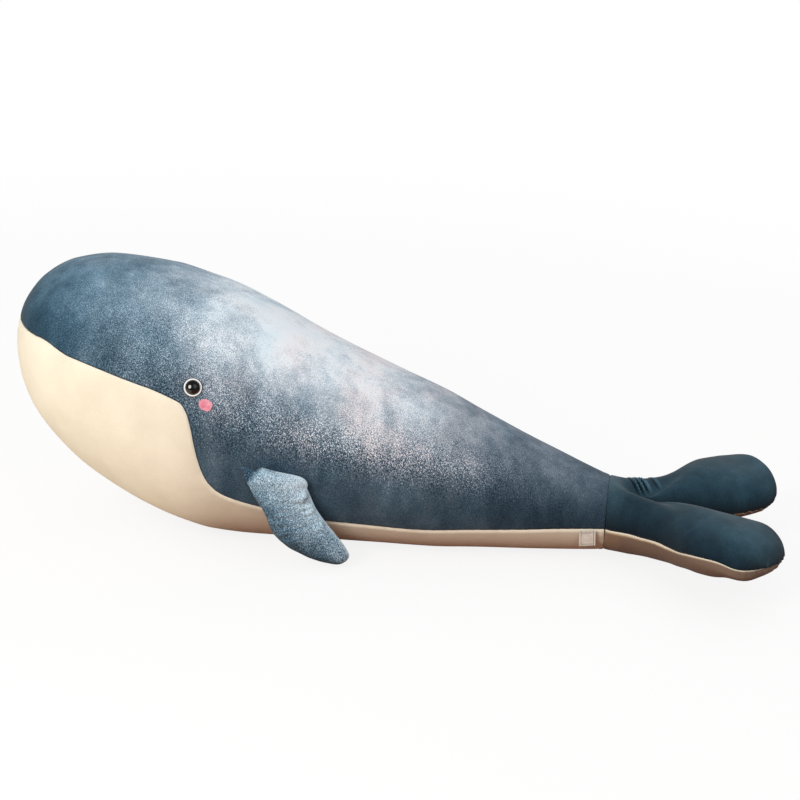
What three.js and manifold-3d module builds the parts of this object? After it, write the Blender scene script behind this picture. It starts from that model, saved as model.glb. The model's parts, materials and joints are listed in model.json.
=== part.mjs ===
// Plush whale, about a metre long, lying on its belly.
// It is sewn from short-pile plush: a blue back in two side panels and one cream belly panel round
// a large stuffing, a tail with two paddle-shaped flukes, two padded side fins, safety eyes on felt
// rings with lock washers inside, embroidered cheeks, and a ribbon care label in the belly seam.
// Millimetres. X runs from nose to tail, Z is up, the floor is at Z = 0, and the XZ plane mirrors
// the whale. Its own left side is at negative Y.

import * as THREE from 'three';
import Module from 'manifold-3d';

const wasm = await Module();
wasm.setup();

// Body
const BODY_LENGTH = 777; // nose to tail seam
const BODY_HEIGHT = 340; // crown above the floor
const BODY_WIDTH = 325;
const BELLY_CUT = 0.5; // the belly is flattened this deep where it rests
const PLUSH_THICKNESS = 2;
const SEAM_GAP = 0.3; // between two panels, and between any two pieces that touch

// Tail and flukes
const KNUCKLE_CLEARANCE = 0.9; // all round the tail's round front end, inside the body's end
const TAIL_SWING = 20; // degrees each way
const STOCK_LENGTH = 41; // tail seam to the fluke roots' fold line
const STOCK_SIDE_TUCK = 4; // each fluke root stands this far past the stock's side
const STOCK_RIM = 6; // stock's plush above and below the fluke roots
const STOCK_DROP = 4; // fold line below the tail's axis
const FLUKE_LENGTH = 201; // fold line to tip, along the fluke
const FLUKE_WIDTH = 138;
const FLUKE_THICKNESS = 75;
const FLUKE_SPREAD = 32.5; // degrees between each fluke and the tail's axis
const FLUKE_TILT = 5.5; // degrees, tip up
const FLUKE_ROOT_RADIUS = 36; // round root that the fluke folds on
const FLUKE_ROOT_WIDTH = 64;
const FLUKE_PARTING = 2; // each fluke root's distance from the middle plane
const FLUKE_SWING = 25; // degrees each way
const FLUKE_ROOT_FULLNESS = 2.4; // how square the root's ends are: 2 is a ball

// Side fins
const FIN_FROM_NOSE = 320; // nose to the root line's front end
const FIN_ROOT_LENGTH = 86;
const FIN_ROOT_HEIGHT = 121; // root line's middle above the floor
const FIN_ROOT_SLOPE = 19; // degrees, falling to the rear
const FIN_SWEEP = 130; // root's middle to the fin's rearmost edge, along the root line
const FIN_DROP = 82; // root line to the fin's lowest edge, square to the root line
const FIN_ROLL_RADIUS = 12.5; // padded roll along the root
const FIN_PAD_THICKNESS = 22;
const FIN_LEAN = 4; // degrees outward from plumb
const FIN_PLUSH_THICKNESS = 1.5;
const FIN_ROLL_FULLNESS = 3.2;

// Eyes and cheeks
const EYE_FROM_NOSE = 254.5;
const EYE_HEIGHT = 228;
const EYE_DIAMETER = 18;
const EYE_RISE = 5.5; // dome height above its felt ring
const EYE_STEM_DIAMETER = 5;
const EYE_STEM_LENGTH = 13;
const FELT_RING_DIAMETER = 23;
const FELT_THICKNESS = 1.6;
const WASHER_DIAMETER = 16;
const WASHER_THICKNESS = 1.5;
const WASHER_DEPTH = 4.2; // plush surface to the washer's outer face
const CHEEK_FROM_NOSE = 272.5;
const CHEEK_HEIGHT = 208;
const CHEEK_LENGTH = 18;
const CHEEK_WIDTH = 15;
const CHEEK_THICKNESS = 0.9;
const CHEEK_TURN = 20; // degrees, rear end down

// Care label
const LABEL_FROM_TAIL = 22; // tail seam to the label's middle
const LABEL_WIDTH = 21;
const LABEL_DROP = 20;
const LABEL_RIBBON = 0.5;
const LABEL_LOOP = 0.8; // between the folded ribbon's two layers
const LABEL_LEAN = 6; // degrees outward from plumb
const LABEL_STANDOFF = 1; // seam to the ribbon's near face, clear of the body's flat facets

// Faceting
const BODY_ROWS = 18;
const BODY_COLUMNS = 22;
const STUFFING_COLUMNS = BODY_COLUMNS / 2; // a whole share of the body's, so that it lies inside
const TAIL_COLUMNS = 20;
const TAIL_KNUCKLE_ROWS = 5;
const FLUKE_COLUMNS = 14;
const FLUKE_ROWS = 9;
const ROOT_COLUMNS = 14;
const ROOT_ROWS = 6;
const ROLL_SIDES = 12;
const FIN_COLUMNS = 10;
const SMALL_SIDES = 14;
const STOCK_ROWS = 3;
const DOME_ROWS = 5;
const LABEL_BEND_STEPS = 5;
const ROOT_PLACES = 8; // places along a fin's root line where its distance is measured
const OVERRUN = 12; // how far a cutting shape passes what it cuts
const WELD_STEP = 0.0001; // points closer than this are one point
const QUARTERS = 4;
const NEARBY_SHARE = 0.002; // step along a form that shows which way its surface faces
const BODY_END_SHARE = 1.03; // the body is lofted this far past its seam, then cut
const FIN_SETTLE_SHARE = 0.4; // share of the facets' depth that a fin's roll settles into
const KNUCKLE_SHARE = 0.6; // share of the tail's rows that its round front end takes
const TAIL_END_SHARE = 1.15;

// Body profile: share of the body's length, crown and underside as shares of its height, and
// the section's width as a share of its width. The last row only carries the taper past the seam.
const BODY_SHARES = [
  [0, 0.706, 0.706, 0],
  [0.0131, 0.82, 0.52, 0.308],
  [0.0394, 0.904, 0.4, 0.522],
  [0.0887, 0.974, 0.277, 0.74],
  [0.1528, 1, 0.175, 0.894],
  [0.2514, 0.983, 0.074, 0.994],
  [0.3155, 0.946, 0.025, 1],
  [0.3549, 0.922, 0.006, 0.985],
  [0.4141, 0.868, 0, 0.938],
  [0.5146, 0.761, 0, 0.829],
  [0.6433, 0.642, 0, 0.7],
  [0.7197, 0.578, 0.0015, 0.625],
  [0.7739, 0.521, 0.006, 0.555],
  [0.9047, 0.394, 0.014, 0.405],
  [1, 0.309, 0.028, 0.292],
  [1.04, 0.278, 0.04, 0.258],
];

// How square the section's lower half is, along the body: 2 is an ellipse
const BELLY_FULLNESS_SHARES = [
  [0, 2],
  [0.1183, 2.1],
  [0.2958, 2.4],
  [0.7394, 2.5],
  [1, 2],
  [1.04, 2],
];
const CROWN_FULLNESS = 2.05;

// The seam between blue and cream: share of the body's length, and height above the section's
// centre as a share of its half height. It drops steeply behind the corner of the mouth. Forward
// of its second row it keeps that row's level, so it crosses above the nose's tip.
const COLOUR_SEAM_SHARES = [
  [-0.04, 0.36],
  [0.05, 0.38],
  [0.1183, 0.3],
  [0.2169, 0.297],
  [0.2859, 0.284],
  [0.3086, 0.27],
  [0.3194, 0.215],
  [0.3283, 0.101],
  [0.3352, -0.04],
  [0.3431, -0.179],
  [0.3519, -0.29],
  [0.3618, -0.362],
  [0.3746, -0.415],
  [0.3943, -0.454],
  [0.4407, -0.505],
  [0.5393, -0.587],
  [0.6654, -0.585],
  [0.7975, -0.49],
  [0.8626, -0.4],
  [0.9277, -0.27],
  [1.04, -0.08],
];

// Fluke outline: share of its length, half width and half thickness as shares of their largest
const FLUKE_SHARES = [
  [0, 0, 0],
  [0.03, 0.36, 0.68],
  [0.1, 0.56, 0.96],
  [0.2, 0.66, 1],
  [0.35, 0.76, 0.97],
  [0.5, 0.86, 0.95],
  [0.65, 0.96, 0.95],
  [0.78, 1, 0.92],
  [0.88, 0.94, 0.84],
  [0.95, 0.78, 0.71],
  [0.985, 0.52, 0.48],
  [1, 0, 0],
];

// Fin outline: front edge and back edge, as shares of the sweep along the root line and of the
// drop square to it, and half thickness as a share of half the padding
const FIN_SHARES = [
  { front: [-0.33, 0], back: [0.33, 0], pad: 0.96 },
  { front: [-0.15, 0.295], back: [0.375, 0.1], pad: 1 },
  { front: [0.05, 0.56], back: [0.45, 0.22], pad: 1 },
  { front: [0.215, 0.83], back: [0.575, 0.385], pad: 1 },
  { front: [0.45, 0.965], back: [0.735, 0.525], pad: 0.92 },
  { front: [0.66, 1], back: [0.86, 0.625], pad: 0.78 },
  { front: [0.84, 0.98], back: [0.955, 0.72], pad: 0.56 },
  { front: [0.94, 0.92], back: [0.995, 0.79], pad: 0.32 },
  { front: [0.975, 0.85], back: [0.975, 0.85], pad: 0 },
];

// Colours
const BLUE = '#46627a';
const DARK_BLUE = '#34505f';
const CREAM = '#f1e0c0';
const PINK = '#e7829a';
const BLACK = '#0c0c0e';
const FELT_WHITE = '#f3f3f1';
const RIBBON_WHITE = '#ece8e0';
const FILL_WHITE = '#f5f3ee';
const WASHER_WHITE = '#dddddd';

const radians = THREE.MathUtils.degToRad;
const point = (x, y, z) => new THREE.Vector3(x, y, z);

// A value between the rows of a table, on a smooth curve that never overshoots a row. The first
// column is the place, and column is the one wanted.
function between(table, place, column) {
  const last = table.length - 2;
  const slope = (i) => (table[i + 1][column] - table[i][column]) / (table[i + 1][0] - table[i][0]);
  const tangent = (i) => {
    if (i === 0) return slope(0);
    if (i > last) return slope(last);
    const before = slope(i - 1);
    const after = slope(i);
    return before * after <= 0 ? 0 : (2 * before * after) / (before + after);
  };
  let i = 0;
  while (i < last && place > table[i + 1][0]) i += 1;
  const width = table[i + 1][0] - table[i][0];
  const t = (place - table[i][0]) / width;
  const rise = t * t * (3 - 2 * t);
  const bend = tangent(i) * t * (1 - t) * (1 - t) - tangent(i + 1) * t * t * (1 - t);
  return table[i][column] * (1 - rise) + table[i + 1][column] * rise + bend * width;
}

// The same table with its places as square roots, in which a round nose is a straight run
const rooted = (table) => table.map(([place, ...values]) => [Math.sqrt(place), ...values]);
const ROOTED_BODY = rooted(BODY_SHARES);

// One coordinate of a rounded section: 2 is an ellipse, more is squarer
const rounded = (value, fullness) => Math.sign(value) * Math.abs(value) ** (2 / fullness);

// A closed solid of points and triangles, with shared points merged and its faces pointing out
function solid(points, triangles) {
  const known = new Map();
  const vertices = [];
  const merged = points.map((p) => {
    const key = p.toArray().map((value) => Math.round(value / WELD_STEP)).join();
    if (!known.has(key)) {
      known.set(key, known.size);
      vertices.push(...p.toArray());
    }
    return known.get(key);
  });
  const faces = triangles
    .map((corners) => corners.map((corner) => merged[corner]))
    .filter(([a, b, c]) => a !== b && b !== c && c !== a);
  const corner = (i) => new THREE.Vector3().fromArray(vertices, 3 * i);
  const volume = faces.reduce((sum, [a, b, c]) => sum + corner(a).dot(corner(b).cross(corner(c))), 0);
  const outward = volume > 0 ? faces : faces.map(([a, b, c]) => [a, c, b]);
  return new wasm.Manifold(new wasm.Mesh({
    numProp: 3,
    vertProperties: new Float32Array(vertices),
    triVerts: new Uint32Array(outward.flat()),
  }));
}

// A closed solid lofted through rings of points, with a fan over each end
function loft(rings) {
  const count = rings[0].length;
  const points = rings.flat();
  const triangles = [];
  for (let i = 0; i + 1 < rings.length; i += 1) {
    for (let j = 0; j < count; j += 1) {
      const a = i * count + j;
      const b = i * count + ((j + 1) % count);
      triangles.push([a, b, b + count], [a, b + count, a + count]);
    }
  }
  [0, rings.length - 1].forEach((end) => {
    const middle = points.length;
    points.push(rings[end].reduce((sum, p) => sum.add(p), point(0, 0, 0)).divideScalar(count));
    for (let j = 0; j < count; j += 1) {
      const edge = [end * count + j, end * count + ((j + 1) % count)];
      triangles.push(end ? [middle, ...edge] : [middle, ...edge.reverse()]);
    }
  });
  return solid(points, triangles);
}

// A geometry of three.js as a solid, moved by a matrix
function solidOf(geometry, matrix = new THREE.Matrix4()) {
  const { position } = geometry.attributes;
  const points = [];
  for (let i = 0; i < position.count; i += 1) {
    points.push(new THREE.Vector3().fromBufferAttribute(position, i).applyMatrix4(matrix));
  }
  const order = geometry.index ? [...geometry.index.array] : points.map((_, i) => i);
  const triangles = [];
  for (let i = 0; i < order.length; i += 3) triangles.push(order.slice(i, i + 3));
  return solid(points, triangles);
}

// A form is a function of u along it and v round it, both 0 to 1. This is its outward direction
// there. At an end where the form closes to a point, it is the mean of those just beside it.
function outward(form, u, v, sense) {
  const step = NEARBY_SHARE;
  const along = form(u + step, v).sub(form(u - step, v));
  const round = form(u, v + step).sub(form(u, v - step));
  if (round.length() > along.length() * step) {
    return along.cross(round).normalize().multiplyScalar(sense);
  }
  const beside = u + (u < 0.5 ? step : -step);
  const all = spaced(QUARTERS).map((share) => outward(form, beside, share, sense));
  return all.slice(1).reduce((sum, direction) => sum.add(direction)).normalize();
}

// The form as a solid whose surface lies depth below the form's own
function sunk(form, rows, columns, depth, sense = 1) {
  return loft(rows.map((u) => Array.from({ length: columns }, (_, j) => {
    const v = j / columns;
    return form(u, v).addScaledVector(outward(form, u, v, sense), -depth);
  })));
}

const spaced = (count, end = 1) => Array.from({ length: count + 1 }, (_, i) => (end * i) / count);

// Keeps what lies past offset along a direction
const past = (body, direction, offset) => body.trimByPlane(direction, offset);

// A round solid on the Y axis from one end to the other, its profile a fat ellipse
function barrel(radius, width, fullness, columns, rows) {
  const rings = spaced(rows).map((share) => {
    const angle = Math.PI * share;
    const y = (-width / 2) * rounded(Math.cos(angle), fullness);
    const r = radius * rounded(Math.sin(angle), fullness);
    return Array.from({ length: columns }, (_, j) => {
      const turn = (2 * Math.PI * j) / columns;
      return point(r * Math.cos(turn), y, r * Math.sin(turn));
    });
  });
  return loft(rings);
}

// A round piece must turn inside a faceted seat, so the seat is this much wider
const seatRadius = (radius, sides) => (radius + SEAM_GAP) / Math.cos(Math.PI / sides);

// The body's section at a share of its length
function section(share) {
  const place = Math.sqrt(Math.max(share, 0));
  const sunkBy = BELLY_CUT * Math.min(1, share / BODY_SHARES[1][0]);
  const top = BODY_HEIGHT * between(ROOTED_BODY, place, 1);
  const bottom = BODY_HEIGHT * between(ROOTED_BODY, place, 2) - sunkBy;
  return {
    centre: (top + bottom) / 2,
    halfHeight: (top - bottom) / 2,
    halfWidth: (BODY_WIDTH / 2) * between(ROOTED_BODY, place, 3),
    fullness: between(BELLY_FULLNESS_SHARES, share, 1),
  };
}

// The tail's axis runs through the middle of the body's end, and its round front end fits inside
const bodyEnd = section(1);
const tailAxisHeight = bodyEnd.centre;
const bodyEndRadius = Math.min(bodyEnd.halfWidth, bodyEnd.halfHeight) * Math.cos(Math.PI / BODY_COLUMNS);
const knuckleRadius = bodyEndRadius - PLUSH_THICKNESS - KNUCKLE_CLEARANCE;

// Fluke, with its fold line's middle at the origin, spread towards negative Y
const flukeMiddle = FLUKE_PARTING + FLUKE_ROOT_WIDTH / 2;
const flukeTurn = new THREE.Matrix4().makeRotationZ(-radians(FLUKE_SPREAD))
  .multiply(new THREE.Matrix4().makeRotationY(-radians(FLUKE_TILT)));
const [flukeAlong, flukeAcross, flukeUp] = [point(0, 0, 0), point(0, 0, 0), point(0, 0, 0)];
flukeTurn.extractBasis(flukeAlong, flukeAcross, flukeUp);
// The fluke's table with its places as turns of a half circle, in which both round ends are straight
const FLUKE_BY_TURN = FLUKE_SHARES.map(([place, ...values]) => [Math.acos(1 - 2 * place), ...values]);

function flukeForm(u, v) {
  const place = Math.PI * u;
  const turn = 2 * Math.PI * v;
  const along = (FLUKE_LENGTH * (1 - Math.cos(place))) / 2;
  const across = (FLUKE_WIDTH / 2) * between(FLUKE_BY_TURN, place, 1) * Math.cos(turn);
  const rise = (FLUKE_THICKNESS / 2) * between(FLUKE_BY_TURN, place, 2) * Math.sin(turn);
  return point(0, -flukeMiddle, 0)
    .addScaledVector(flukeAlong, along)
    .addScaledVector(flukeAcross, across)
    .addScaledVector(flukeUp, rise);
}

function flukeSolid(depth) {
  const blade = sunk(flukeForm, spaced(FLUKE_ROWS), FLUKE_COLUMNS, depth, -1);
  const rootWidth = FLUKE_ROOT_WIDTH - 2 * depth;
  const root = barrel(FLUKE_ROOT_RADIUS - depth, rootWidth, FLUKE_ROOT_FULLNESS, ROOT_COLUMNS, ROOT_ROWS)
    .translate(0, -flukeMiddle, 0);
  return past(blade.add(root), [0, -1, 0], FLUKE_PARTING / 2 + depth);
}

// The whale stands with the middle of its length over the origin
const flukeReach = flukeSolid(0).boundingBox().max[0];
const NOSE_X = -(BODY_LENGTH + STOCK_LENGTH + flukeReach) / 2;
const TAIL_SEAM_X = NOSE_X + BODY_LENGTH;
const FLUKE_FOLD_X = TAIL_SEAM_X + STOCK_LENGTH;

// The body: u is the square root of the share of its length, and v runs round from the crown
function bodyForm(u, v) {
  const mirrored = u < 0;
  const share = u * u;
  const { centre, halfHeight, halfWidth, fullness } = section(share);
  const turn = 2 * Math.PI * (mirrored ? v + 0.5 : v);
  const high = Math.cos(turn);
  const exponent = high < 0 ? fullness : CROWN_FULLNESS;
  return point(
    NOSE_X + BODY_LENGTH * share,
    -halfWidth * rounded(Math.sin(turn), exponent),
    centre + halfHeight * rounded(high, exponent),
  );
}

const bodyRows = spaced(BODY_ROWS, Math.sqrt(BODY_END_SHARE));
const bodySolid = (depth, columns = BODY_COLUMNS) => sunk(bodyForm, bodyRows, columns, depth, -1);

// A place on the body's left side, and the outward direction there, at a distance from the nose
// and a height above the floor
function sidePlace(fromNose, height) {
  const side = (x, z) => {
    const { centre, halfHeight, halfWidth, fullness } = section(x / BODY_LENGTH);
    const share = Math.abs(z - centre) / halfHeight;
    const exponent = z < centre ? fullness : CROWN_FULLNESS;
    return point(NOSE_X + x, -halfWidth * (1 - share ** exponent) ** (1 / exponent), z);
  };
  const along = side(fromNose + SEAM_GAP, height).sub(side(fromNose - SEAM_GAP, height));
  const up = side(fromNose, height + SEAM_GAP).sub(side(fromNose, height - SEAM_GAP));
  return { place: side(fromNose, height), direction: up.cross(along).normalize().negate() };
}

// The frame of a piece that stands on the body: its own Z points outward, its own X to the rear
function standing({ place, direction }, turn = 0) {
  const rear = point(1, 0, 0).projectOnPlane(direction).normalize();
  const side = direction.clone().cross(rear);
  return new THREE.Matrix4().makeBasis(rear, side, direction).setPosition(place)
    .multiply(new THREE.Matrix4().makeRotationZ(radians(turn)));
}

const moved = (piece, matrix) => piece.transform(matrix.elements);

// A line of [x, z] points shifted square to itself
function shifted(line, distance) {
  return line.map((place, i) => {
    const before = line[Math.max(i - 1, 0)];
    const after = line[Math.min(i + 1, line.length - 1)];
    const run = new THREE.Vector2(after[0] - before[0], after[1] - before[1]).normalize();
    return [place[0] - run.y * distance, place[1] + run.x * distance];
  });
}

// A slab across the whole body, between a line in the XZ plane and a level
function slab(line, level) {
  const outline = [...line, [line.at(-1)[0], level], [line[0][0], level]];
  const shape = new THREE.Shape(outline.map(([x, z]) => new THREE.Vector2(x, z)));
  const depth = BODY_WIDTH + 2 * OVERRUN;
  const geometry = new THREE.ExtrudeGeometry(shape, { depth, bevelEnabled: false });
  const upright = new THREE.Matrix4().makeRotationX(Math.PI / 2).setPosition(0, depth / 2, 0);
  return solidOf(geometry, upright);
}

const colourSeam = COLOUR_SEAM_SHARES.map(([share, height]) => {
  const { centre, halfHeight } = section(Math.max(share, COLOUR_SEAM_SHARES[1][0]));
  return [NOSE_X + BODY_LENGTH * share, centre + halfHeight * height];
});

// Body panels
const cutAtSeam = (body) => past(body, [-1, 0, 0], -TAIL_SEAM_X);
const bodySurface = past(cutAtSeam(bodySolid(0)), [0, 0, 1], 0);
const bodySkin = bodySurface.subtract(bodySolid(PLUSH_THICKNESS));
const backSkin = bodySkin.intersect(slab(shifted(colourSeam, SEAM_GAP / 2), BODY_HEIGHT + OVERRUN));
const bellyPanel = bodySkin.intersect(slab(shifted(colourSeam, -SEAM_GAP / 2), -OVERRUN));

// Tail knuckle and stock. The round front end turns in the body's open end, and the stock then
// widens to the two fluke roots.
const knuckleTurn = radians(TAIL_SWING);
const stockRear = STOCK_LENGTH - FLUKE_ROOT_RADIUS * Math.sin(radians(FLUKE_SWING)) - SEAM_GAP;
const stockRearHalfWidth = FLUKE_PARTING + FLUKE_ROOT_WIDTH - STOCK_SIDE_TUCK;
const stockRearHalfHeight = FLUKE_ROOT_RADIUS + STOCK_RIM;

function tailForm(u, v) {
  const turn = 2 * Math.PI * v;
  const side = Math.sign(u || 1);
  const round = Math.abs(u) * (Math.PI / 2 + knuckleTurn) / KNUCKLE_SHARE;
  let x = -knuckleRadius * Math.cos(round);
  let halfWidth = knuckleRadius * Math.sin(round);
  let halfHeight = halfWidth;
  let drop = 0;
  if (u > KNUCKLE_SHARE) {
    const start = knuckleRadius * Math.sin(knuckleTurn);
    const waist = knuckleRadius * Math.cos(knuckleTurn);
    const ease = THREE.MathUtils.smoothstep(u, KNUCKLE_SHARE, 1);
    x = start + (stockRear - start) * (u - KNUCKLE_SHARE) / (1 - KNUCKLE_SHARE);
    halfWidth = waist + (stockRearHalfWidth - waist) * ease;
    halfHeight = waist + (stockRearHalfHeight - waist) * ease;
    drop = STOCK_DROP * ease;
  }
  return point(
    TAIL_SEAM_X + x,
    -halfWidth * Math.sin(turn) * side,
    tailAxisHeight - drop + halfHeight * Math.cos(turn) * side,
  );
}

const stockPlaces = spaced(STOCK_ROWS).map((share) => KNUCKLE_SHARE + (1 - KNUCKLE_SHARE) * share);
const tailRows = [...spaced(TAIL_KNUCKLE_ROWS, KNUCKLE_SHARE), ...stockPlaces.slice(1), TAIL_END_SHARE];
const tailSolid = (depth) => sunk(tailForm, tailRows, TAIL_COLUMNS, depth, -1);
const fold = point(FLUKE_FOLD_X, 0, tailAxisHeight - STOCK_DROP);

function flukeSeat() {
  const radius = seatRadius(FLUKE_ROOT_RADIUS, ROOT_COLUMNS);
  const width = FLUKE_ROOT_WIDTH + 2 * SEAM_GAP;
  const seat = barrel(radius, width, FLUKE_ROOT_FULLNESS, ROOT_COLUMNS, ROOT_ROWS)
    .translate(0, -flukeMiddle, 0);
  return seat.add(seat.mirror([0, 1, 0])).translate(...fold.toArray());
}

const stockEnd = -(TAIL_SEAM_X + stockRear);
const tailSurface = past(tailSolid(0), [-1, 0, 0], stockEnd).subtract(flukeSeat());
const tailSkin = tailSurface.subtract(tailSolid(PLUSH_THICKNESS));
const tailStuffing = past(tailSolid(PLUSH_THICKNESS + SEAM_GAP), [-1, 0, 0], stockEnd)
  .subtract(flukeSeat());

const above = (piece, height) => past(piece, [0, 0, 1], height + SEAM_GAP / 2);
const below = (piece, height) => past(piece, [0, 0, -1], -height + SEAM_GAP / 2);

// Left fluke: its edge seam lies in its own tilted middle plane
const flukeSkin = flukeSolid(0).subtract(flukeSolid(PLUSH_THICKNESS));
const flukePlane = flukeUp.dot(point(0, -flukeMiddle, 0));
const flukeDown = flukeUp.clone().negate();
const flukeTop = past(flukeSkin, flukeUp.toArray(), SEAM_GAP / 2 + flukePlane)
  .translate(...fold.toArray());
const flukeBottom = past(flukeSkin, flukeDown.toArray(), SEAM_GAP / 2 - flukePlane)
  .translate(...fold.toArray());
const flukeStuffing = flukeSolid(PLUSH_THICKNESS + SEAM_GAP).translate(...fold.toArray());

// Fin, in its own frame: X along the root line to the rear, Y square to it along the fin, and Z
// towards the body
function finForm(u, v) {
  const row = Math.min(Math.max(u, 0), 1) * (FIN_SHARES.length - 1);
  const i = Math.min(Math.floor(row), FIN_SHARES.length - 2);
  const mix = row - i;
  const blend = (pick) => pick(FIN_SHARES[i]) * (1 - mix) + pick(FIN_SHARES[i + 1]) * mix;
  const front = [blend((s) => s.front[0]) * FIN_SWEEP, blend((s) => s.front[1]) * FIN_DROP];
  const back = [blend((s) => s.back[0]) * FIN_SWEEP, blend((s) => s.back[1]) * FIN_DROP];
  const turn = 2 * Math.PI * v;
  const reach = (1 + Math.cos(turn)) / 2;
  return point(
    front[0] + (back[0] - front[0]) * reach,
    front[1] + (back[1] - front[1]) * reach,
    (FIN_PAD_THICKNESS / 2) * blend((s) => s.pad) * Math.sin(turn),
  );
}

// How far the fin's tip draws back when the fin is thinned: by the share that the row before loses
function tipShift(rowBefore, tip, depth) {
  const ends = [finForm(rowBefore, 0), finForm(rowBefore, 0.5)];
  const half = ends[0].distanceTo(ends[1]) / 2;
  const middle = ends[0].add(ends[1]).divideScalar(2);
  return tip.clone().sub(middle).multiplyScalar(Math.min(depth / half, 1));
}

// A fin's outline thinned by a depth all round, by moving each section's points inward
function finSolid(depth) {
  const rows = FIN_SHARES.map((_, i) => i / (FIN_SHARES.length - 1));
  const rings = rows.map((u, i) => {
    const middle = finForm(u, 0).add(finForm(u, 0.5)).divideScalar(2);
    const half = finForm(u, 0).distanceTo(middle);
    const pad = (FIN_PAD_THICKNESS / 2) * FIN_SHARES[i].pad;
    const tipward = i < rows.length - 1 ? point(0, 0, 0) : tipShift(rows[i - 1], middle, depth);
    return Array.from({ length: FIN_COLUMNS }, (_, j) => {
      const arm = finForm(u, j / FIN_COLUMNS).sub(middle);
      const flat = point(arm.x, arm.y, 0).multiplyScalar(half ? Math.max(half - depth, 0) / half : 0);
      const thick = pad ? (arm.z * Math.max(pad - depth, 0)) / pad : 0;
      return middle.clone().add(flat).add(point(0, 0, thick)).sub(tipward);
    });
  });
  const rollLength = FIN_ROOT_LENGTH - 2 * depth;
  const roll = barrel(FIN_ROLL_RADIUS - depth, rollLength, FIN_ROLL_FULLNESS, ROLL_SIDES, ROOT_ROWS)
    .rotate([0, 0, 90]);
  return loft(rings).add(roll);
}

// The root line lies along the body's left side. The side bulges between the line's ends, so the
// line stands off far enough for the roll to turn clear of it all the way, less a share of the
// depth by which the body's flat facets lie inside the true curve.
const finRun = FIN_ROOT_LENGTH * Math.cos(radians(FIN_ROOT_SLOPE));
const finFall = FIN_ROOT_LENGTH * Math.sin(radians(FIN_ROOT_SLOPE));
const rootPlaces = spaced(ROOT_PLACES).map((share) => {
  const height = FIN_ROOT_HEIGHT + finFall * (0.5 - share);
  return sidePlace(FIN_FROM_NOSE + finRun * share, height).place;
});
const finAlong = rootPlaces.at(-1).clone().sub(rootPlaces[0]).normalize();
const finMiddle = rootPlaces.at(-1).clone().add(rootPlaces[0]).divideScalar(2);
const finSeat = sidePlace(FIN_FROM_NOSE + finRun / 2, FIN_ROOT_HEIGHT);
const finOff = finSeat.direction.projectOnPlane(finAlong).normalize();
const finBulge = Math.max(...rootPlaces.map((place) => place.clone().sub(finMiddle).dot(finOff)));
const { halfWidth: finHalfWidth } = section((FIN_FROM_NOSE + finRun / 2) / BODY_LENGTH);
const facetDepth = finHalfWidth * (1 - Math.cos(Math.PI / BODY_COLUMNS));
const finStandoff = finBulge + FIN_ROLL_RADIUS + SEAM_GAP - FIN_SETTLE_SHARE * facetDepth;
const finRoot = finMiddle.addScaledVector(finOff, finStandoff);
const finPlumb = point(0, 0, -1).projectOnPlane(finAlong).normalize();
const finDown = finPlumb.clone().applyAxisAngle(finAlong, -radians(FIN_LEAN));
const finInward = finAlong.clone().cross(finDown);
const finFrame = new THREE.Matrix4().makeBasis(finAlong, finDown, finInward).setPosition(finRoot);
const finSkin = finSolid(0).subtract(finSolid(FIN_PLUSH_THICKNESS));
const finStuffing = finSolid(FIN_PLUSH_THICKNESS + 2 * SEAM_GAP);

// What stands on the plush is cut to its facets, one gap clear of them
const bodyClearance = bodySolid(-SEAM_GAP);

const disc = (diameter, thickness, level) => solidOf(
  new THREE.CylinderGeometry(diameter / 2, diameter / 2, thickness, SMALL_SIDES),
  new THREE.Matrix4().makeRotationX(Math.PI / 2).setPosition(0, 0, level + thickness / 2),
);

// Safety eye: a domed button with a stem through felt and plush, held by a washer inside
function dome(radius, rise, level) {
  const rings = spaced(DOME_ROWS).map((share) => {
    const angle = (Math.PI / 2) * share;
    return Array.from({ length: SMALL_SIDES }, (_, j) => {
      const turn = (2 * Math.PI * j) / SMALL_SIDES;
      const r = radius * Math.cos(angle);
      return point(r * Math.cos(turn), r * Math.sin(turn), level + rise * Math.sin(angle));
    });
  });
  return loft(rings);
}

const eyeFrame = standing(sidePlace(EYE_FROM_NOSE, EYE_HEIGHT));
const feltTop = FELT_THICKNESS + SEAM_GAP;
const stemHole = EYE_STEM_DIAMETER + 2 * SEAM_GAP;
const eyeButton = dome(EYE_DIAMETER / 2, EYE_RISE, feltTop + SEAM_GAP)
  .add(disc(EYE_STEM_DIAMETER, EYE_STEM_LENGTH, feltTop + 2 * SEAM_GAP - EYE_STEM_LENGTH));
const eyeBore = disc(stemHole, 2 * EYE_STEM_LENGTH, -EYE_STEM_LENGTH - OVERRUN);
const feltRing = disc(FELT_RING_DIAMETER, feltTop + OVERRUN, -OVERRUN)
  .subtract(disc(stemHole, feltTop + 2 * OVERRUN, -OVERRUN - SEAM_GAP));
const washerLevel = -WASHER_DEPTH - WASHER_THICKNESS;
const lockWasher = disc(WASHER_DIAMETER, WASHER_THICKNESS, washerLevel)
  .subtract(disc(stemHole, WASHER_THICKNESS + 2 * SEAM_GAP, washerLevel - SEAM_GAP));
const pocketFloor = feltTop + SEAM_GAP - EYE_STEM_LENGTH;
const eyePocket = disc(WASHER_DIAMETER + 2 * SEAM_GAP, OVERRUN - washerLevel, washerLevel - SEAM_GAP)
  .add(disc(stemHole, OVERRUN - pocketFloor, pocketFloor - SEAM_GAP));

// Embroidered cheek
const cheekFrame = standing(sidePlace(CHEEK_FROM_NOSE, CHEEK_HEIGHT), CHEEK_TURN);
const cheekPatch = disc(CHEEK_WIDTH, CHEEK_THICKNESS + SEAM_GAP + OVERRUN, -OVERRUN)
  .scale([CHEEK_LENGTH / CHEEK_WIDTH, 1, 1]);

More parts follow.
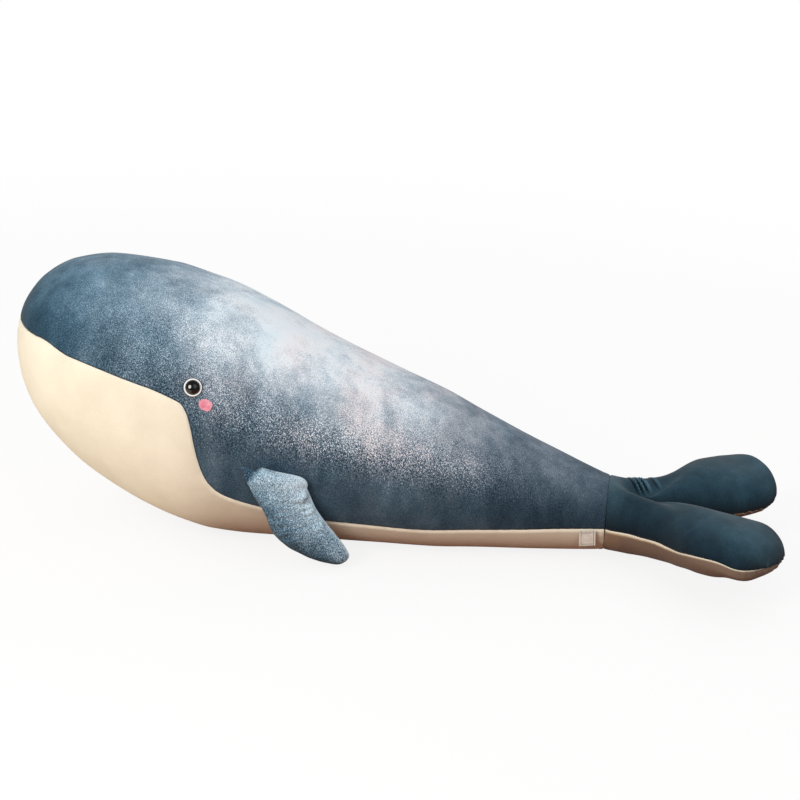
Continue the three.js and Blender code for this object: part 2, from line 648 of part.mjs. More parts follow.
// Care label: a ribbon folded in two, hanging from the colour seam
const labelFromNose = BODY_LENGTH - LABEL_FROM_TAIL;
const labelShare = labelFromNose / BODY_LENGTH;
const labelSection = section(labelShare);
const labelHeight = labelSection.centre
  + labelSection.halfHeight * between(COLOUR_SEAM_SHARES, labelShare, 1);
const labelSeat = sidePlace(labelFromNose, labelHeight);
const labelThickness = 2 * LABEL_RIBBON + LABEL_LOOP;
const labelEnds = [-1, 1].map((end) => sidePlace(labelFromNose + (end * LABEL_WIDTH) / 2, labelHeight));
const labelRises = labelEnds.map(({ place }) => place.sub(labelSeat.place).dot(labelSeat.direction));
const labelOffset = labelThickness / 2 + LABEL_STANDOFF + Math.max(0, ...labelRises);
const labelTop = labelSeat.place.clone().addScaledVector(labelSeat.direction, labelOffset);
const labelAlong = point(1, 0, 0).projectOnPlane(labelSeat.direction).normalize();
const labelPlumb = point(0, 0, -1).projectOnPlane(labelAlong).normalize();
const labelDown = labelPlumb.applyAxisAngle(labelAlong, -radians(LABEL_LEAN));
const labelInward = labelAlong.clone().cross(labelDown);

function foldedRibbon() {
  const outer = labelThickness / 2;
  const inner = LABEL_LOOP / 2;
  const straight = LABEL_DROP - outer;
  const shape = new THREE.Shape();
  shape.moveTo(0, outer);
  shape.lineTo(straight, outer);
  shape.absarc(straight, 0, outer, Math.PI / 2, -Math.PI / 2, true);
  shape.lineTo(0, -outer);
  shape.lineTo(0, -inner);
  shape.lineTo(straight, -inner);
  shape.absarc(straight, 0, inner, -Math.PI / 2, Math.PI / 2, false);
  shape.lineTo(0, inner);
  const options = { depth: LABEL_WIDTH, bevelEnabled: false, curveSegments: LABEL_BEND_STEPS };
  const frame = new THREE.Matrix4().makeBasis(labelDown, labelInward, labelAlong.clone().negate())
    .setPosition(labelTop.clone().addScaledVector(labelAlong, LABEL_WIDTH / 2));
  return solidOf(new THREE.ExtrudeGeometry(shape, options), frame);
}

// Body stuffing: one fill with a round socket at its end and a pocket behind each eye
const socketRadius = seatRadius(knuckleRadius, SMALL_SIDES);
const socket = solidOf(
  new THREE.SphereGeometry(socketRadius, 2 * SMALL_SIDES, SMALL_SIDES),
  new THREE.Matrix4().makeTranslation(TAIL_SEAM_X, 0, tailAxisHeight),
);
const mirrored = (piece) => piece.mirror([0, 1, 0]);
const leftPocket = moved(eyePocket, eyeFrame);
const fillDepth = PLUSH_THICKNESS + SEAM_GAP;
const bodyFill = cutAtSeam(bodySolid(fillDepth, STUFFING_COLUMNS))
  .subtract(socket)
  .subtract(leftPocket)
  .subtract(mirrored(leftPocket));

// The scene: one group for the body, and one group for each limb, placed at its pivot and keeping
// the line that it bends about. A positive turn lifts a fin or the label away from the body.
const whale = new THREE.Group();
const acrossAxis = point(0, 1, 0);
const tail = limb(whale, point(TAIL_SEAM_X, 0, tailAxisHeight), acrossAxis);

function limb(parent, pivot, axis) {
  const group = new THREE.Group();
  group.userData.pivot = pivot;
  group.userData.axis = axis;
  group.position.copy(pivot).sub(parent.userData.pivot ?? point(0, 0, 0));
  parent.add(group);
  return group;
}

function piece(group, name, shape, color, roughness = 0.95) {
  const { numProp, vertProperties, triVerts } = shape.getMesh();
  const geometry = new THREE.BufferGeometry();
  const flat = [];
  for (let i = 0; i < vertProperties.length; i += numProp) {
    flat.push(...vertProperties.slice(i, i + 3));
  }
  geometry.setAttribute('position', new THREE.Float32BufferAttribute(flat, 3));
  geometry.setIndex([...triVerts]);
  const pivot = group.userData.pivot ?? point(0, 0, 0);
  geometry.translate(-pivot.x, -pivot.y, -pivot.z);
  const mesh = new THREE.Mesh(geometry, new THREE.MeshStandardMaterial({ color, roughness, metalness: 0 }));
  mesh.name = name;
  group.add(mesh);
  return mesh;
}

piece(whale, 'belly_panel', bellyPanel, CREAM);
piece(whale, 'body_stuffing', bodyFill, FILL_WHITE);

piece(tail, 'tail_top_panel', above(tailSkin, tailAxisHeight), DARK_BLUE);
piece(tail, 'tail_bottom_panel', below(tailSkin, tailAxisHeight), CREAM);
piece(tail, 'tail_stuffing', tailStuffing, FILL_WHITE);

[['left', -1], ['right', 1]].forEach(([side, sign]) => {
  const mine = (shape) => (sign < 0 ? shape : mirrored(shape));
  const eyeHole = mine(moved(eyeBore, eyeFrame));
  const back = past(backSkin, [0, sign, 0], SEAM_GAP / 2).subtract(eyeHole);
  piece(whale, `back_panel_${side}`, back, BLUE);
  piece(whale, `eye_${side}`, mine(moved(eyeButton, eyeFrame)), BLACK, 0.1);
  const ring = moved(feltRing, eyeFrame).subtract(bodyClearance);
  piece(whale, `eye_ring_${side}`, mine(ring), FELT_WHITE);
  piece(whale, `eye_washer_${side}`, mine(moved(lockWasher, eyeFrame)), WASHER_WHITE, 0.5);
  piece(whale, `cheek_${side}`, mine(moved(cheekPatch, cheekFrame).subtract(bodyClearance)), PINK, 0.8);

  const fluke = limb(tail, point(fold.x, sign * flukeMiddle, fold.z), acrossAxis);
  piece(fluke, `fluke_${side}_top_panel`, mine(flukeTop), DARK_BLUE);
  piece(fluke, `fluke_${side}_bottom_panel`, mine(flukeBottom), CREAM);
  piece(fluke, `fluke_${side}_stuffing`, mine(flukeStuffing), FILL_WHITE);

  const finAxis = point(sign * finAlong.x, -finAlong.y, sign * finAlong.z);
  const fin = limb(whale, point(finRoot.x, -sign * finRoot.y, finRoot.z), finAxis);
  const outer = moved(past(finSkin, [0, 0, -1], SEAM_GAP / 2), finFrame).subtract(bodyClearance);
  const inner = moved(past(finSkin, [0, 0, 1], SEAM_GAP / 2), finFrame).subtract(bodyClearance);
  piece(fin, `fin_${side}_outer_panel`, mine(outer), BLUE);
  piece(fin, `fin_${side}_inner_panel`, mine(inner), BLUE);
  piece(fin, `fin_${side}_stuffing`, mine(moved(finStuffing, finFrame)), FILL_WHITE);
});

const label = limb(whale, labelTop, labelAlong.clone().negate());
piece(label, 'care_label', foldedRibbon(), RIBBON_WHITE, 0.6);

export default whale;
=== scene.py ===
# %% [markdown]
# # A plush whale, about a metre long
# The whale is a soft toy of short-pile plush: two blue back panels, a cream belly panel, a tail
# with two stuffed flukes, two padded fins, safety eyes and a care label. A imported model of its
# solids is the frame. It says where each piece is and what moves, and every piece made here is
# put round it. Lengths are in metres: X runs from nose to tail, Z is up, and the whale's left side
# is at negative Y.

# %% Load the frame
import json
import math

import bpy
import numpy as np
from mathutils import Matrix, Vector, noise
from mathutils.kdtree import KDTree


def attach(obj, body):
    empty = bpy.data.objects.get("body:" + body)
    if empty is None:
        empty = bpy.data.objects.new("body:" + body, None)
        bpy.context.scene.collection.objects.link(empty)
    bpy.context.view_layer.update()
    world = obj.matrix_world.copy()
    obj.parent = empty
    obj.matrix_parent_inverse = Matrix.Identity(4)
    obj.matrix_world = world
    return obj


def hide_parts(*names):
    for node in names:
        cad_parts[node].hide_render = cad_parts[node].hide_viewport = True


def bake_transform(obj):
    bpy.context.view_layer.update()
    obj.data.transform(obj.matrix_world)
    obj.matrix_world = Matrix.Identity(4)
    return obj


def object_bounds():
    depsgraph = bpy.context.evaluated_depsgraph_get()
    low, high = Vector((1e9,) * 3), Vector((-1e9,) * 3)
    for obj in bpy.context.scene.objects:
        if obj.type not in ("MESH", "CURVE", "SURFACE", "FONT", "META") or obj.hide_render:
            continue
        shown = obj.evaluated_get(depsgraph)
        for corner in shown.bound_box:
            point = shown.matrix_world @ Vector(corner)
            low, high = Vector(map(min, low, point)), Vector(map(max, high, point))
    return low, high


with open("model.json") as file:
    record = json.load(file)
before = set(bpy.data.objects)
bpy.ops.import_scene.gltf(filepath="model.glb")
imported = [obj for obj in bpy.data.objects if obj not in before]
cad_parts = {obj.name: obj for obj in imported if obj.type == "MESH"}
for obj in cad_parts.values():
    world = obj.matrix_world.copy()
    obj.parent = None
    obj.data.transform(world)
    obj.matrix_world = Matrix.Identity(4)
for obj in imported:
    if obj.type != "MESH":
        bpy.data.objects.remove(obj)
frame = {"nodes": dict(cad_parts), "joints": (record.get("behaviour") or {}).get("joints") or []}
cad_box = [list(corner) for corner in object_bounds()]
MM = 0.001
WELD = 1e-6  # points closer than this are one point
SIDES = ((-1, "left"), (1, "right"))  # the sign of Y, and the side's name
joints = {joint["name"]: joint for joint in frame["joints"]}
NOSE_X = cad_box[0][0]
TAIL_SEAM_X = joints["tail_bend"]["pos_m"][0]
BODY_LENGTH = TAIL_SEAM_X - NOSE_X
print("body length", round(BODY_LENGTH, 4), "box", cad_box)


def mm(*values):
    """Millimetres in metres."""
    return tuple(value * MM for value in values)


# %% [markdown]
# ## Curves through tables
# A sewn toy's outline is a few places joined by a fair curve. One helper draws a curve through
# the rows of a table and never swings past a row, so that a table stays short enough to read.

# %% Curves through tables
CROWDING = 0.75  # 0 spaces a grid's columns evenly, and 1 crowds them fully at the seams
FINE_STEPS = 3000  # along a line that is measured before its rows are placed


def between(table, places, column):
    """The smooth curve through one column of a table, at places along its first column."""
    rows = np.asarray(table, float)
    x, y = rows[:, 0], rows[:, column]
    slopes = np.diff(y) / np.diff(x)
    before, after = slopes[:-1], slopes[1:]
    same = before * after > 0
    inner = np.where(same, 2 * before * after / np.where(same, before + after, 1), 0)
    tangents = np.concatenate([slopes[:1], inner, slopes[-1:]])
    i = np.clip(np.searchsorted(x, places, side="left") - 1, 0, len(x) - 2)
    width = x[i + 1] - x[i]
    t = (places - x[i]) / width
    rise = t * t * (3 - 2 * t)
    bend = tangents[i] * t * (1 - t) ** 2 - tangents[i + 1] * t * t * (1 - t)
    return y[i] * (1 - rise) + y[i + 1] * rise + bend * width


def smooth(value, low, high):
    """0 below low, 1 above high, and an eased rise between."""
    t = np.clip((value - low) / (high - low), 0, 1)
    return t * t * (3 - 2 * t)


def window(value, rise, fall):
    """An eased rise from 0 to 1 and, farther on, an eased fall back to 0."""
    return smooth(value, *rise) * (1 - smooth(value, *fall))


def hump(value, width):
    """1 at 0, falling away to 0 on both sides."""
    return np.exp(-((value / width) ** 2))


def rounded(value, fullness):
    """One coordinate of a rounded section: a fullness of 2 is an ellipse, and more is squarer."""
    return np.sign(value) * np.abs(value) ** (2 / fullness)


def running(line):
    """How far along a line each of its points is."""
    return np.concatenate([[0], np.cumsum(np.linalg.norm(np.diff(line, axis=0), axis=1))])


def graded(places, lengths, spacing):
    """Places along a line whose steps follow a wanted spacing."""
    steps = np.diff(lengths) / ((spacing[1:] + spacing[:-1]) / 2)
    count = np.concatenate([[0], np.cumsum(steps)])
    return np.interp(np.linspace(0, count[-1], int(count[-1]) + 1), count, places)


def crowded(count):
    """Shares from 0 to 1 that lie closer together at both ends, where the seams are."""
    t = np.linspace(0, 1, count + 1)
    return t - CROWDING * np.sin(2 * np.pi * t) / (2 * np.pi)


# %% [markdown]
# ## The body's form
# The body is lofted through sections that swell behind the nose and taper to the tail. The same
# shares shaped the solids, so the fine surface lies where they are. Each section's lower half is
# a little square, because the toy's weight spreads the belly.

# %% The body's form
BODY_HEIGHT, BODY_WIDTH = mm(340, 325)
BELLY_CUT = 0.5 * MM
CROWN_FULLNESS = 2.05

# Share of the length, crown and underside as shares of the height, and share of the width
BODY_SHARES = [
    (0, 0.706, 0.706, 0), (0.0131, 0.82, 0.52, 0.308), (0.0394, 0.904, 0.4, 0.522),
    (0.0887, 0.974, 0.277, 0.74), (0.1528, 1, 0.175, 0.894), (0.2514, 0.983, 0.074, 0.994),
    (0.3155, 0.946, 0.025, 1), (0.3549, 0.922, 0.006, 0.985), (0.4141, 0.868, 0, 0.938),
    (0.5146, 0.761, 0, 0.829), (0.6433, 0.642, 0, 0.7), (0.7197, 0.578, 0.0015, 0.625),
    (0.7739, 0.521, 0.006, 0.555), (0.9047, 0.394, 0.014, 0.405), (1, 0.309, 0.028, 0.292),
    (1.04, 0.278, 0.04, 0.258),
]
BELLY_FULLNESS_SHARES = [(0, 2), (0.1183, 2.1), (0.2958, 2.4), (0.7394, 2.5), (1, 2), (1.04, 2)]

# The seam between blue and cream: share of the length, height as a share of the half height.
# Forward of its second row it keeps that row's level, so it crosses above the nose's tip.
COLOUR_SEAM_SHARES = [
    (-0.04, 0.36), (0.05, 0.38), (0.1183, 0.3), (0.2169, 0.297), (0.2859, 0.284), (0.3086, 0.27),
    (0.3194, 0.215), (0.3283, 0.101), (0.3352, -0.04), (0.3431, -0.179), (0.3519, -0.29),
    (0.3618, -0.362), (0.3746, -0.415), (0.3943, -0.454), (0.4407, -0.505), (0.5393, -0.587),
    (0.6654, -0.585), (0.7975, -0.49), (0.8626, -0.4), (0.9277, -0.27), (1.04, -0.08),
]
ROOTED_BODY = [(math.sqrt(row[0]), *row[1:]) for row in BODY_SHARES]


def section(share):
    """Centre height, half height, half width and lower fullness at shares of the length."""
    share = np.asarray(share, float)
    place = np.sqrt(np.maximum(share, 0))
    sunk = BELLY_CUT * np.minimum(1, share / BODY_SHARES[1][0])
    top = BODY_HEIGHT * between(ROOTED_BODY, place, 1)
    bottom = BODY_HEIGHT * between(ROOTED_BODY, place, 2) - sunk
    half_width = BODY_WIDTH / 2 * between(ROOTED_BODY, place, 3)
    fullness = between(BELLY_FULLNESS_SHARES, share, 1)
    return (top + bottom) / 2, (top - bottom) / 2, half_width, fullness


def seam_turn(share):
    """The angle from the crown to the colour seam: none where the whole section is cream."""
    held_centre, held_half, _, _ = section(np.maximum(share, COLOUR_SEAM_SHARES[1][0]))
    level = held_centre + held_half * between(COLOUR_SEAM_SHARES, share, 1)
    centre, half_height, _, fullness = section(share)
    height = np.clip((level - centre) / np.maximum(half_height, WELD), -1, 1)
    return np.arccos(rounded(height, 4 / np.where(height < 0, fullness, CROWN_FULLNESS)))


def ring_points(x, centre, half_height, half_width, fullness, turn):
    """Points of rounded sections, at turns from the crown over the left side."""
    high = np.cos(turn)
    exponent = np.where(high < 0, fullness, CROWN_FULLNESS)
    y = -half_width * rounded(np.sin(turn), exponent)
    return np.stack([x + 0 * y, y, centre + half_height * rounded(high, exponent)], axis=-1)


def side_place(from_nose, height):
    """A place on the body's left side, the outward direction there, and the way to the rear."""

    def side(x, z):
        """The point of the surface at a distance from the nose and a height."""
        centre, half_height, half_width, fullness = section(x / BODY_LENGTH)
        exponent = np.where(z < centre, fullness, CROWN_FULLNESS)
        share = np.abs(z - centre) / half_height
        return Vector((NOSE_X + x, -half_width * (1 - share**exponent) ** (1 / exponent), z))

    along = side(from_nose + MM, height) - side(from_nose - MM, height)
    up = side(from_nose, height + MM) - side(from_nose, height - MM)
    out = -up.cross(along).normalized()
    return side(from_nose, height), out, (Vector((1, 0, 0)) - out * out.x).normalized()


print("section at half length", [round(float(v), 4) for v in section(0.5)])

# %% [markdown]
# ## From points to panels
# Each plush panel is a thin shell: an outer skin, an inner skin one plush thickness below it, and
# a rim. A grid of points makes the outer skin, and its normals are kept, so that two panels that
# are one piece of fabric on the toy shade as one. The rest place is stored on every point, for
# materials that must not slide when the toy is bent.

# %% From points to panels
PLUSH = 2 * MM


def store(mesh, name, values):
    """Keeps a value or a vector on each point of a mesh."""
    values = np.asarray(values, np.float32)
    kind, field = ("FLOAT_VECTOR", "vector") if values.ndim > 1 else ("FLOAT", "value")
    mesh.attributes.new(name, kind, "POINT").data.foreach_set(field, values.ravel())


def new_mesh(name, points, faces, material, eased=True):
    """A mesh with a material, shaded smooth or flat."""
    mesh = bpy.data.meshes.new(name)
    mesh.from_pydata(np.asarray(points).tolist(), [], faces, shade_flat=not eased)
    mesh.materials.append(material)
    return mesh


def in_scene(name, data):
    """A new object in the scene."""
    made = bpy.data.objects.new(name, data)
    bpy.context.scene.collection.objects.link(made)
    return made


def corners(grid):
    """The four corners of every face of a grid, in order."""
    return grid[:-1, :-1], grid[:-1, 1:], grid[1:, 1:], grid[1:, :-1]


def faces_of(index, turned_over=False):
    """Every face of a grid of point numbers, one to a row."""
    faces = np.stack(corners(index), axis=-1).reshape(-1, 4)
    return faces[:, [0, 3, 2, 1]] if turned_over else faces


def apart(face, points):
    """A face's corners, but for those at the same point as an earlier one."""
    return [c for k, c in enumerate(face) if points[c] not in [points[o] for o in face[:k]]]


def grid_normals(grid, sense, wrap=False):
    """Outward directions at a grid of points: the mean of the faces round each point, by area.
    Points that lie together, as at a pole, share one."""
    if wrap:
        grid = np.concatenate([grid, grid[:, :1]], axis=1)
    a, b, c, d = corners(grid)
    facing = (np.cross(c - a, b - d) * sense).reshape(-1, 3)
    keys = np.round(grid.reshape(-1, 3) / WELD).astype(np.int64)
    same = np.unique(keys, axis=0, return_inverse=True)[1].reshape(grid.shape[:2])
    total = np.zeros((same.max() + 1, 3))
    for corner in corners(same):
        np.add.at(total, corner.ravel(), facing)
    normals = total[same]
    normals /= np.maximum(np.linalg.norm(normals, axis=2, keepdims=True), WELD**2)
    return normals[:, :-1] if wrap else normals


def panel(name, outer, normals, material, sense, values, thickness=PLUSH):
    """A shell from a grid: its outer skin, its inner skin and the rim between them."""
    layers = np.concatenate([outer.reshape(-1, 3), (outer - normals * thickness).reshape(-1, 3)])
    count = len(layers) // 2
    keys = np.column_stack([np.round(layers / WELD).astype(np.int64), np.repeat([0, 1], count)])
    _, first, same = np.unique(keys, axis=0, return_index=True, return_inverse=True)
    same = same.reshape(-1).tolist()
    index = np.arange(count).reshape(outer.shape[:2])
    quads = faces_of(index, sense > 0)
    edge = np.concatenate([index[0, :-1], index[:-1, -1], index[-1, :0:-1], index[:0:-1, 0]])
    following = np.roll(edge, -1)
    if sense < 0:
        edge, following = following, edge
    rim = np.stack([edge, following, following + count, edge + count], axis=-1).tolist()
    # Where the grid closes on itself, two of its edges meet and need no rim
    walls = [sorted({same[corner] for corner in wall}) for wall in rim]
    rim = [face for face, wall in zip(rim, walls) if walls.count(wall) == 1]
    outward = np.concatenate([normals.reshape(-1, 3), -normals.reshape(-1, 3)]).tolist()
    polygons, loop_normals = [], []
    for face in [*quads.tolist(), *(quads[:, ::-1] + count).tolist(), *rim]:
        kept = apart(face, same)
        if len(kept) > 2:
            polygons.append([same[corner] for corner in kept])
            on_rim = face[0] < count <= face[2]
            loop_normals += [(0, 0, 0) if on_rim else outward[corner] for corner in kept]
    mesh = new_mesh(name, layers[first], polygons, material)
    mesh.normals_split_custom_set(loop_normals)
    store(mesh, "rest_place", layers[first])
    for key, value in values.items():
        store(mesh, key, np.tile(value.reshape(-1), 2)[first])
    return in_scene(name, mesh)


# %% Distances and lumps
def denser(line, step=0.7 * MM):
    """The same line with points at even small steps."""
    run = running(line)
    places = np.linspace(0, run[-1], int(run[-1] / step) + 2)
    return np.column_stack([np.interp(places, run, line[:, k]) for k in range(3)])


def nearest(points, line):
    """Each point's distance to a line of points, and how far along the line that is."""
    tree = KDTree(len(line))
    for i, place in enumerate(line):
        tree.insert(place, i)
    tree.balance()
    found = np.array([tree.find(place)[1:] for place in points.reshape(-1, 3)])
    index, distance = found.T.reshape(2, *points.shape[:-1])
    return distance, running(line)[index.astype(int)]


def uneven(points, size, seed):
    """Smooth random values from -1 to 1 over a grid, with lumps of a size."""
    shift = Vector((seed, 2 * seed, 3 * seed))
    flat = [noise.noise(Vector(place) / size + shift) for place in points.reshape(-1, 3)]
    return np.array(flat).reshape(points.shape[:-1])


def mirrored(grid, side):
    """The grid on one side: the right is the left's mirror image."""
    return grid * np.array([1, -side, 1])


def on_left(grid):
    """The grid with its right side laid over its left."""
    return np.stack([grid[..., 0], -np.abs(grid[..., 1]), grid[..., 2]], axis=-1)


# %% [markdown]
# ## What a seam does to plush
# The thread pulls two panels inward along the seam. The pile closes over it, so it reads as a
# valley, sharp at its floor and broad above, with small gathers where the fabric was eased in.

# %% Seams
# Depth and reach of each valley
SHARP_VALLEY = mm(1.9, 4.5)
BROAD_VALLEY = mm(1.3, 32)
RING_VALLEY = mm(0.7, 2.6)  # shallow, because the tail's pull keeps the fabric flat
BACK_VALLEY = mm(0.5, 6)
FIN_VALLEY = mm(1.0, 4)
GATHER_START = 2 * MM
SECOND_WAVE = 1.618  # the gathers are two waves that never fall in step


def valley(distance, depth, reach):
    """How far the plush sinks at a distance from a seam."""
    return depth * np.clip(1 - distance / reach, 0, 1) ** 2


def seam_valley(distance):
    """The valley along a seam between two panels."""
    return valley(distance, *SHARP_VALLEY) + valley(distance, *BROAD_VALLEY)


def gathers(distance, run, height, spacing, reach):
    """Small folds that start at a seam and fade away from it."""
    fade = valley(distance, 1, reach) * smooth(distance, 0, GATHER_START)
    turns = 2 * np.pi * run / spacing
    return height * fade * (np.sin(turns) + np.sin(turns / SECOND_WAVE + 1)) / 2


# %% [markdown]
# ## Building a material
# Materials are node trees. One helper adds a node, sets its properties, and sets or links its
# inputs. Hex colours are turned to the linear values that shaders work in.


# %% Material helpers
def hex_colour(text):
    """A hex sRGB colour as linear values."""
    shares = [int(text[i : i + 2], 16) / 255 for i in (1, 3, 5)]
    return (*(s / 12.92 if s <= 0.04045 else ((s + 0.055) / 1.055) ** 2.4 for s in shares), 1)


def feed(made, inputs):
    """Sets or links a node's inputs."""
    for name, value in inputs.items():
        if isinstance(value, bpy.types.NodeSocket):
            made.id_data.links.new(value, made.inputs[name])
        else:
            made.inputs[name].default_value = hex_colour(value) if isinstance(value, str) else value
    return made


def node(kind, inputs, tree=None, **settings):
    """Adds a node with its settings and inputs, to a tree or else to the one its inputs are in."""
    sockets = [value for value in inputs.values() if isinstance(value, bpy.types.NodeSocket)]
    made = (tree or sockets[0].id_data).nodes.new(kind)
    for name, value in settings.items():
        setattr(made, name, value)
    return feed(made, inputs)


def start_material(name):
    """An empty material and its tree."""
    material = bpy.data.materials.new(name)
    material.use_nodes = True
    return material, material.node_tree


def finish_material(material, inputs):
    """Sets or links the inputs of the material's Principled shader."""
    feed(material.node_tree.nodes["Principled BSDF"], inputs)
    return material


def ramp(value, stops):
    """A colour ramp through hex colours."""
    made = node("ShaderNodeValToRGB", {"Fac": value})
    elements = made.color_ramp.elements
    while len(elements) < len(stops):
        elements.new(0.5)
    for element, (place, colour) in zip(elements, stops):
        element.position = place
        element.color = hex_colour(colour)
    return made.outputs["Color"]


def maths(operation, *values, clamp=False):
    """One sum of up to three values."""
    inputs = dict(enumerate(values))
    return node("ShaderNodeMath", inputs, operation=operation, use_clamp=clamp).outputs[0]


def mix(share, first, second, blend_type="MIX"):
    """Two colours mixed."""
    inputs = {"Factor": share, 6: first, 7: second}
    return node("ShaderNodeMix", inputs, data_type="RGBA", blend_type=blend_type).outputs[2]


def lumps(place, size, detail, stretch=None):
    """Noise with lumps of a size in metres, from about 0.2 to 0.8."""
    if stretch:
        place = node("ShaderNodeMapping", {"Vector": place, **stretch}).outputs[0]
    inputs = {"Vector": place, "Scale": 1 / size, "Detail": detail, "Roughness": 0.55}
    return node("ShaderNodeTexNoise", inputs).outputs["Fac"]


def bump(height, strength, distance):
    """The direction that a bumped surface faces."""
    inputs = {"Height": height, "Strength": strength, "Distance": distance}
    return node("ShaderNodeBump", inputs).outputs[0]


def stored(tree, name, output="Fac"):
    """A value kept on the points of a piece."""
    return node("ShaderNodeAttribute", {}, tree, attribute_name=name).outputs[output]


def rest_place(tree):
    """Where each point is when the toy is at rest."""
    return stored(tree, "rest_place", "Vector")


def scattered(value, amount, base):
    """A base with a noise's swing round its middle added."""
    return maths("MULTIPLY_ADD", maths("SUBTRACT", value, 0.5), amount, base)


# %% [markdown]
# ## Dyed plush
# The plush is crystal velboa: a knitted polyester with a 1.5 mm pile, sheared even. The blue is
# sprayed on in soft clouds, from deep teal at the nose and under the side to almost white over
# the back, and the pile tips catch the dye unevenly, which gives the speckle. Pile scatters light
# back at a glancing angle, so the shader has sheen and almost no gloss.

# %% Plush materials
PILE_CLUMP = 1.05 * MM  # tufts are finer than this, but at this size they show
PILE_LEAN = 9 * MM
CLOUD = 46 * MM
WISP = 15 * MM
BRUSHED = (0, math.radians(35), 0)  # the way the pile lies
BLUE_DYE = [
    (0.0, "#1d3140"), (0.2, "#31495a"), (0.38, "#4a6070"), (0.55, "#6c8293"), (0.72, "#96a7b6"),
    (0.88, "#c6d2de"), (1.0, "#f2f7fd"),
]
DARK_DYE = [(0.0, "#101d27"), (0.35, "#20343f"), (0.6, "#314b57"), (1.0, "#566f7b")]
TEAL_TINTS = [(-0.1, "#fff6f4"), (0.1, "#ffffff"), (0.5, "#ddf6ff"), (1.0, "#bdebf6")]
# Cream, then two browns of painted shade for the underside
CREAM_AND_UNDERSIDE_SHADE = [(0.0, "#fbf3e0"), (0.82, "#a08567"), (1.0, "#7d695b")]
PILE = {
    "Roughness": 0.92,
    "Specular IOR Level": 0.15,
    "Sheen Weight": 0.12,
    "Sheen Roughness": 0.45,
    "Sheen Tint": (1, 1, 1, 1),
}


def finish_plush(material, place, colour, pile_depth):
    """The pile's colour, bump, sheen and dull surface."""
    height = maths("MULTIPLY_ADD", lumps(place, PILE_LEAN, 2), 1.2, lumps(place, PILE_CLUMP, 3))
    facing = bump(height, 0.6, pile_depth)
    return finish_material(material, {"Base Color": colour, "Normal": facing, **PILE})


def dyed_plush(name, stops):
    """Plush sprayed in clouds. The paleness stored on each piece is 0 in the dark dye and 1 in
    white, and besides the dye it holds painted shade and painted highlights along seams, in pleats,
    above the fins' roots and on the fins; its grain says how strongly the pile's tips stand out."""
    material, tree = start_material(name)
    place = rest_place(tree)
    brushed = {"Rotation": BRUSHED, "Scale": (1, 1, 0.4)}
    dye = scattered(lumps(place, CLOUD, 3, brushed), 0.5, stored(tree, "paleness"))
    dye = scattered(lumps(place, WISP, 3, brushed), 0.3, dye)
    speckle = lumps(place, PILE_CLUMP, 1, {"Rotation": BRUSHED, "Scale": (1, 1, 0.6)})
    swing = maths("MULTIPLY", maths("SUBTRACT", speckle, 0.5), stored(tree, "grain"))
    colour = ramp(maths("MULTIPLY_ADD", swing, 2, dye), stops)
    # The dye drifts between teal and lilac
    drift = scattered(lumps(place, 1.3 * CLOUD, 2), 0.5, stored(tree, "teal"))
    colour = mix(1, colour, ramp(drift, TEAL_TINTS), "MULTIPLY")
    return finish_plush(material, place, colour, 0.35 * MM)


def cream_plush():
    """Undyed plush. Its pile is brushed even, so only a faint mottle shows, and painted shade makes
    it warmer and darker underneath."""
    material, tree = start_material("cream velboa plush")
    place = rest_place(tree)
    # The painted underside shade, made a little uneven
    brown = scattered(lumps(place, CLOUD, 3), 0.25, stored(tree, "brownness"))
    grain = ramp(lumps(place, PILE_CLUMP, 2), [(0.3, "#f4efe8"), (0.6, "#ffffff")])
    colour = mix(0.5, ramp(brown, CREAM_AND_UNDERSIDE_SHADE), grain, "MULTIPLY")
    return finish_plush(material, place, colour, 0.2 * MM)


PLUSHES = {
    "blue_plush": dyed_plush("sprayed blue velboa plush", BLUE_DYE),
    "dark_blue_plush": dyed_plush("dark blue velboa plush", DARK_DYE),
    "cream_plush": cream_plush(),
}


# %% Plush panels
def plush_panel(name, slot, replaced, grid, normals, sense, values, thickness=PLUSH):
    """One stuffed panel, with the solids that it replaces hidden."""
    made = panel(name, grid, normals, PLUSHES[slot], sense, values, thickness)
    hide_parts(*replaced)
    return made


def solids(part, layer):
    """The solids under one of a part's two panels. The first panel covers the stuffing too."""
    return [f"{part}_{layer}_panel"] + [f"{part}_stuffing"] * (layer in ("top", "outer"))


def bend_softly(made, parent, child, fold, before, after):
    """Bakes the piece's placement into its mesh."""
    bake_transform(made)


# %% [markdown]
# ## The body panels
# The whole body is one grid first, so that the dye, the lumps and the seams run on from panel to
# panel, and it is cut into its three panels last. One line of the grid follows the colour seam,
# and the grid is finer beside it.

# %% The body's grid
ROW_SPACING, FINE_SPACING = mm(3.2, 1.3)
BACK_COLUMNS, BELLY_COLUMNS = 84, 120
# The rows are finer at the nose, at the mouth's corner and at the tail seam
NOSE_ROWS = (0.003, 0.03)
CORNER_ROWS = ((0.3 - 0.02, 0.3), (0.41, 0.41 + 0.03))
TAIL_ROWS = (0.97, 1)

root_share = np.linspace(0, 1, FINE_STEPS)
share_line = root_share**2
line_centre, line_half, line_width, _ = section(share_line)
outline = np.column_stack([BODY_LENGTH * share_line, line_centre + line_half, line_width])
near_ends = np.maximum(1 - smooth(share_line, *NOSE_ROWS), smooth(share_line, *TAIL_ROWS))
fine = np.maximum(near_ends, window(share_line, *CORNER_ROWS))
spacing = ROW_SPACING - (ROW_SPACING - FINE_SPACING) * fine
row_share = graded(root_share, running(outline), spacing)[:, None] ** 2

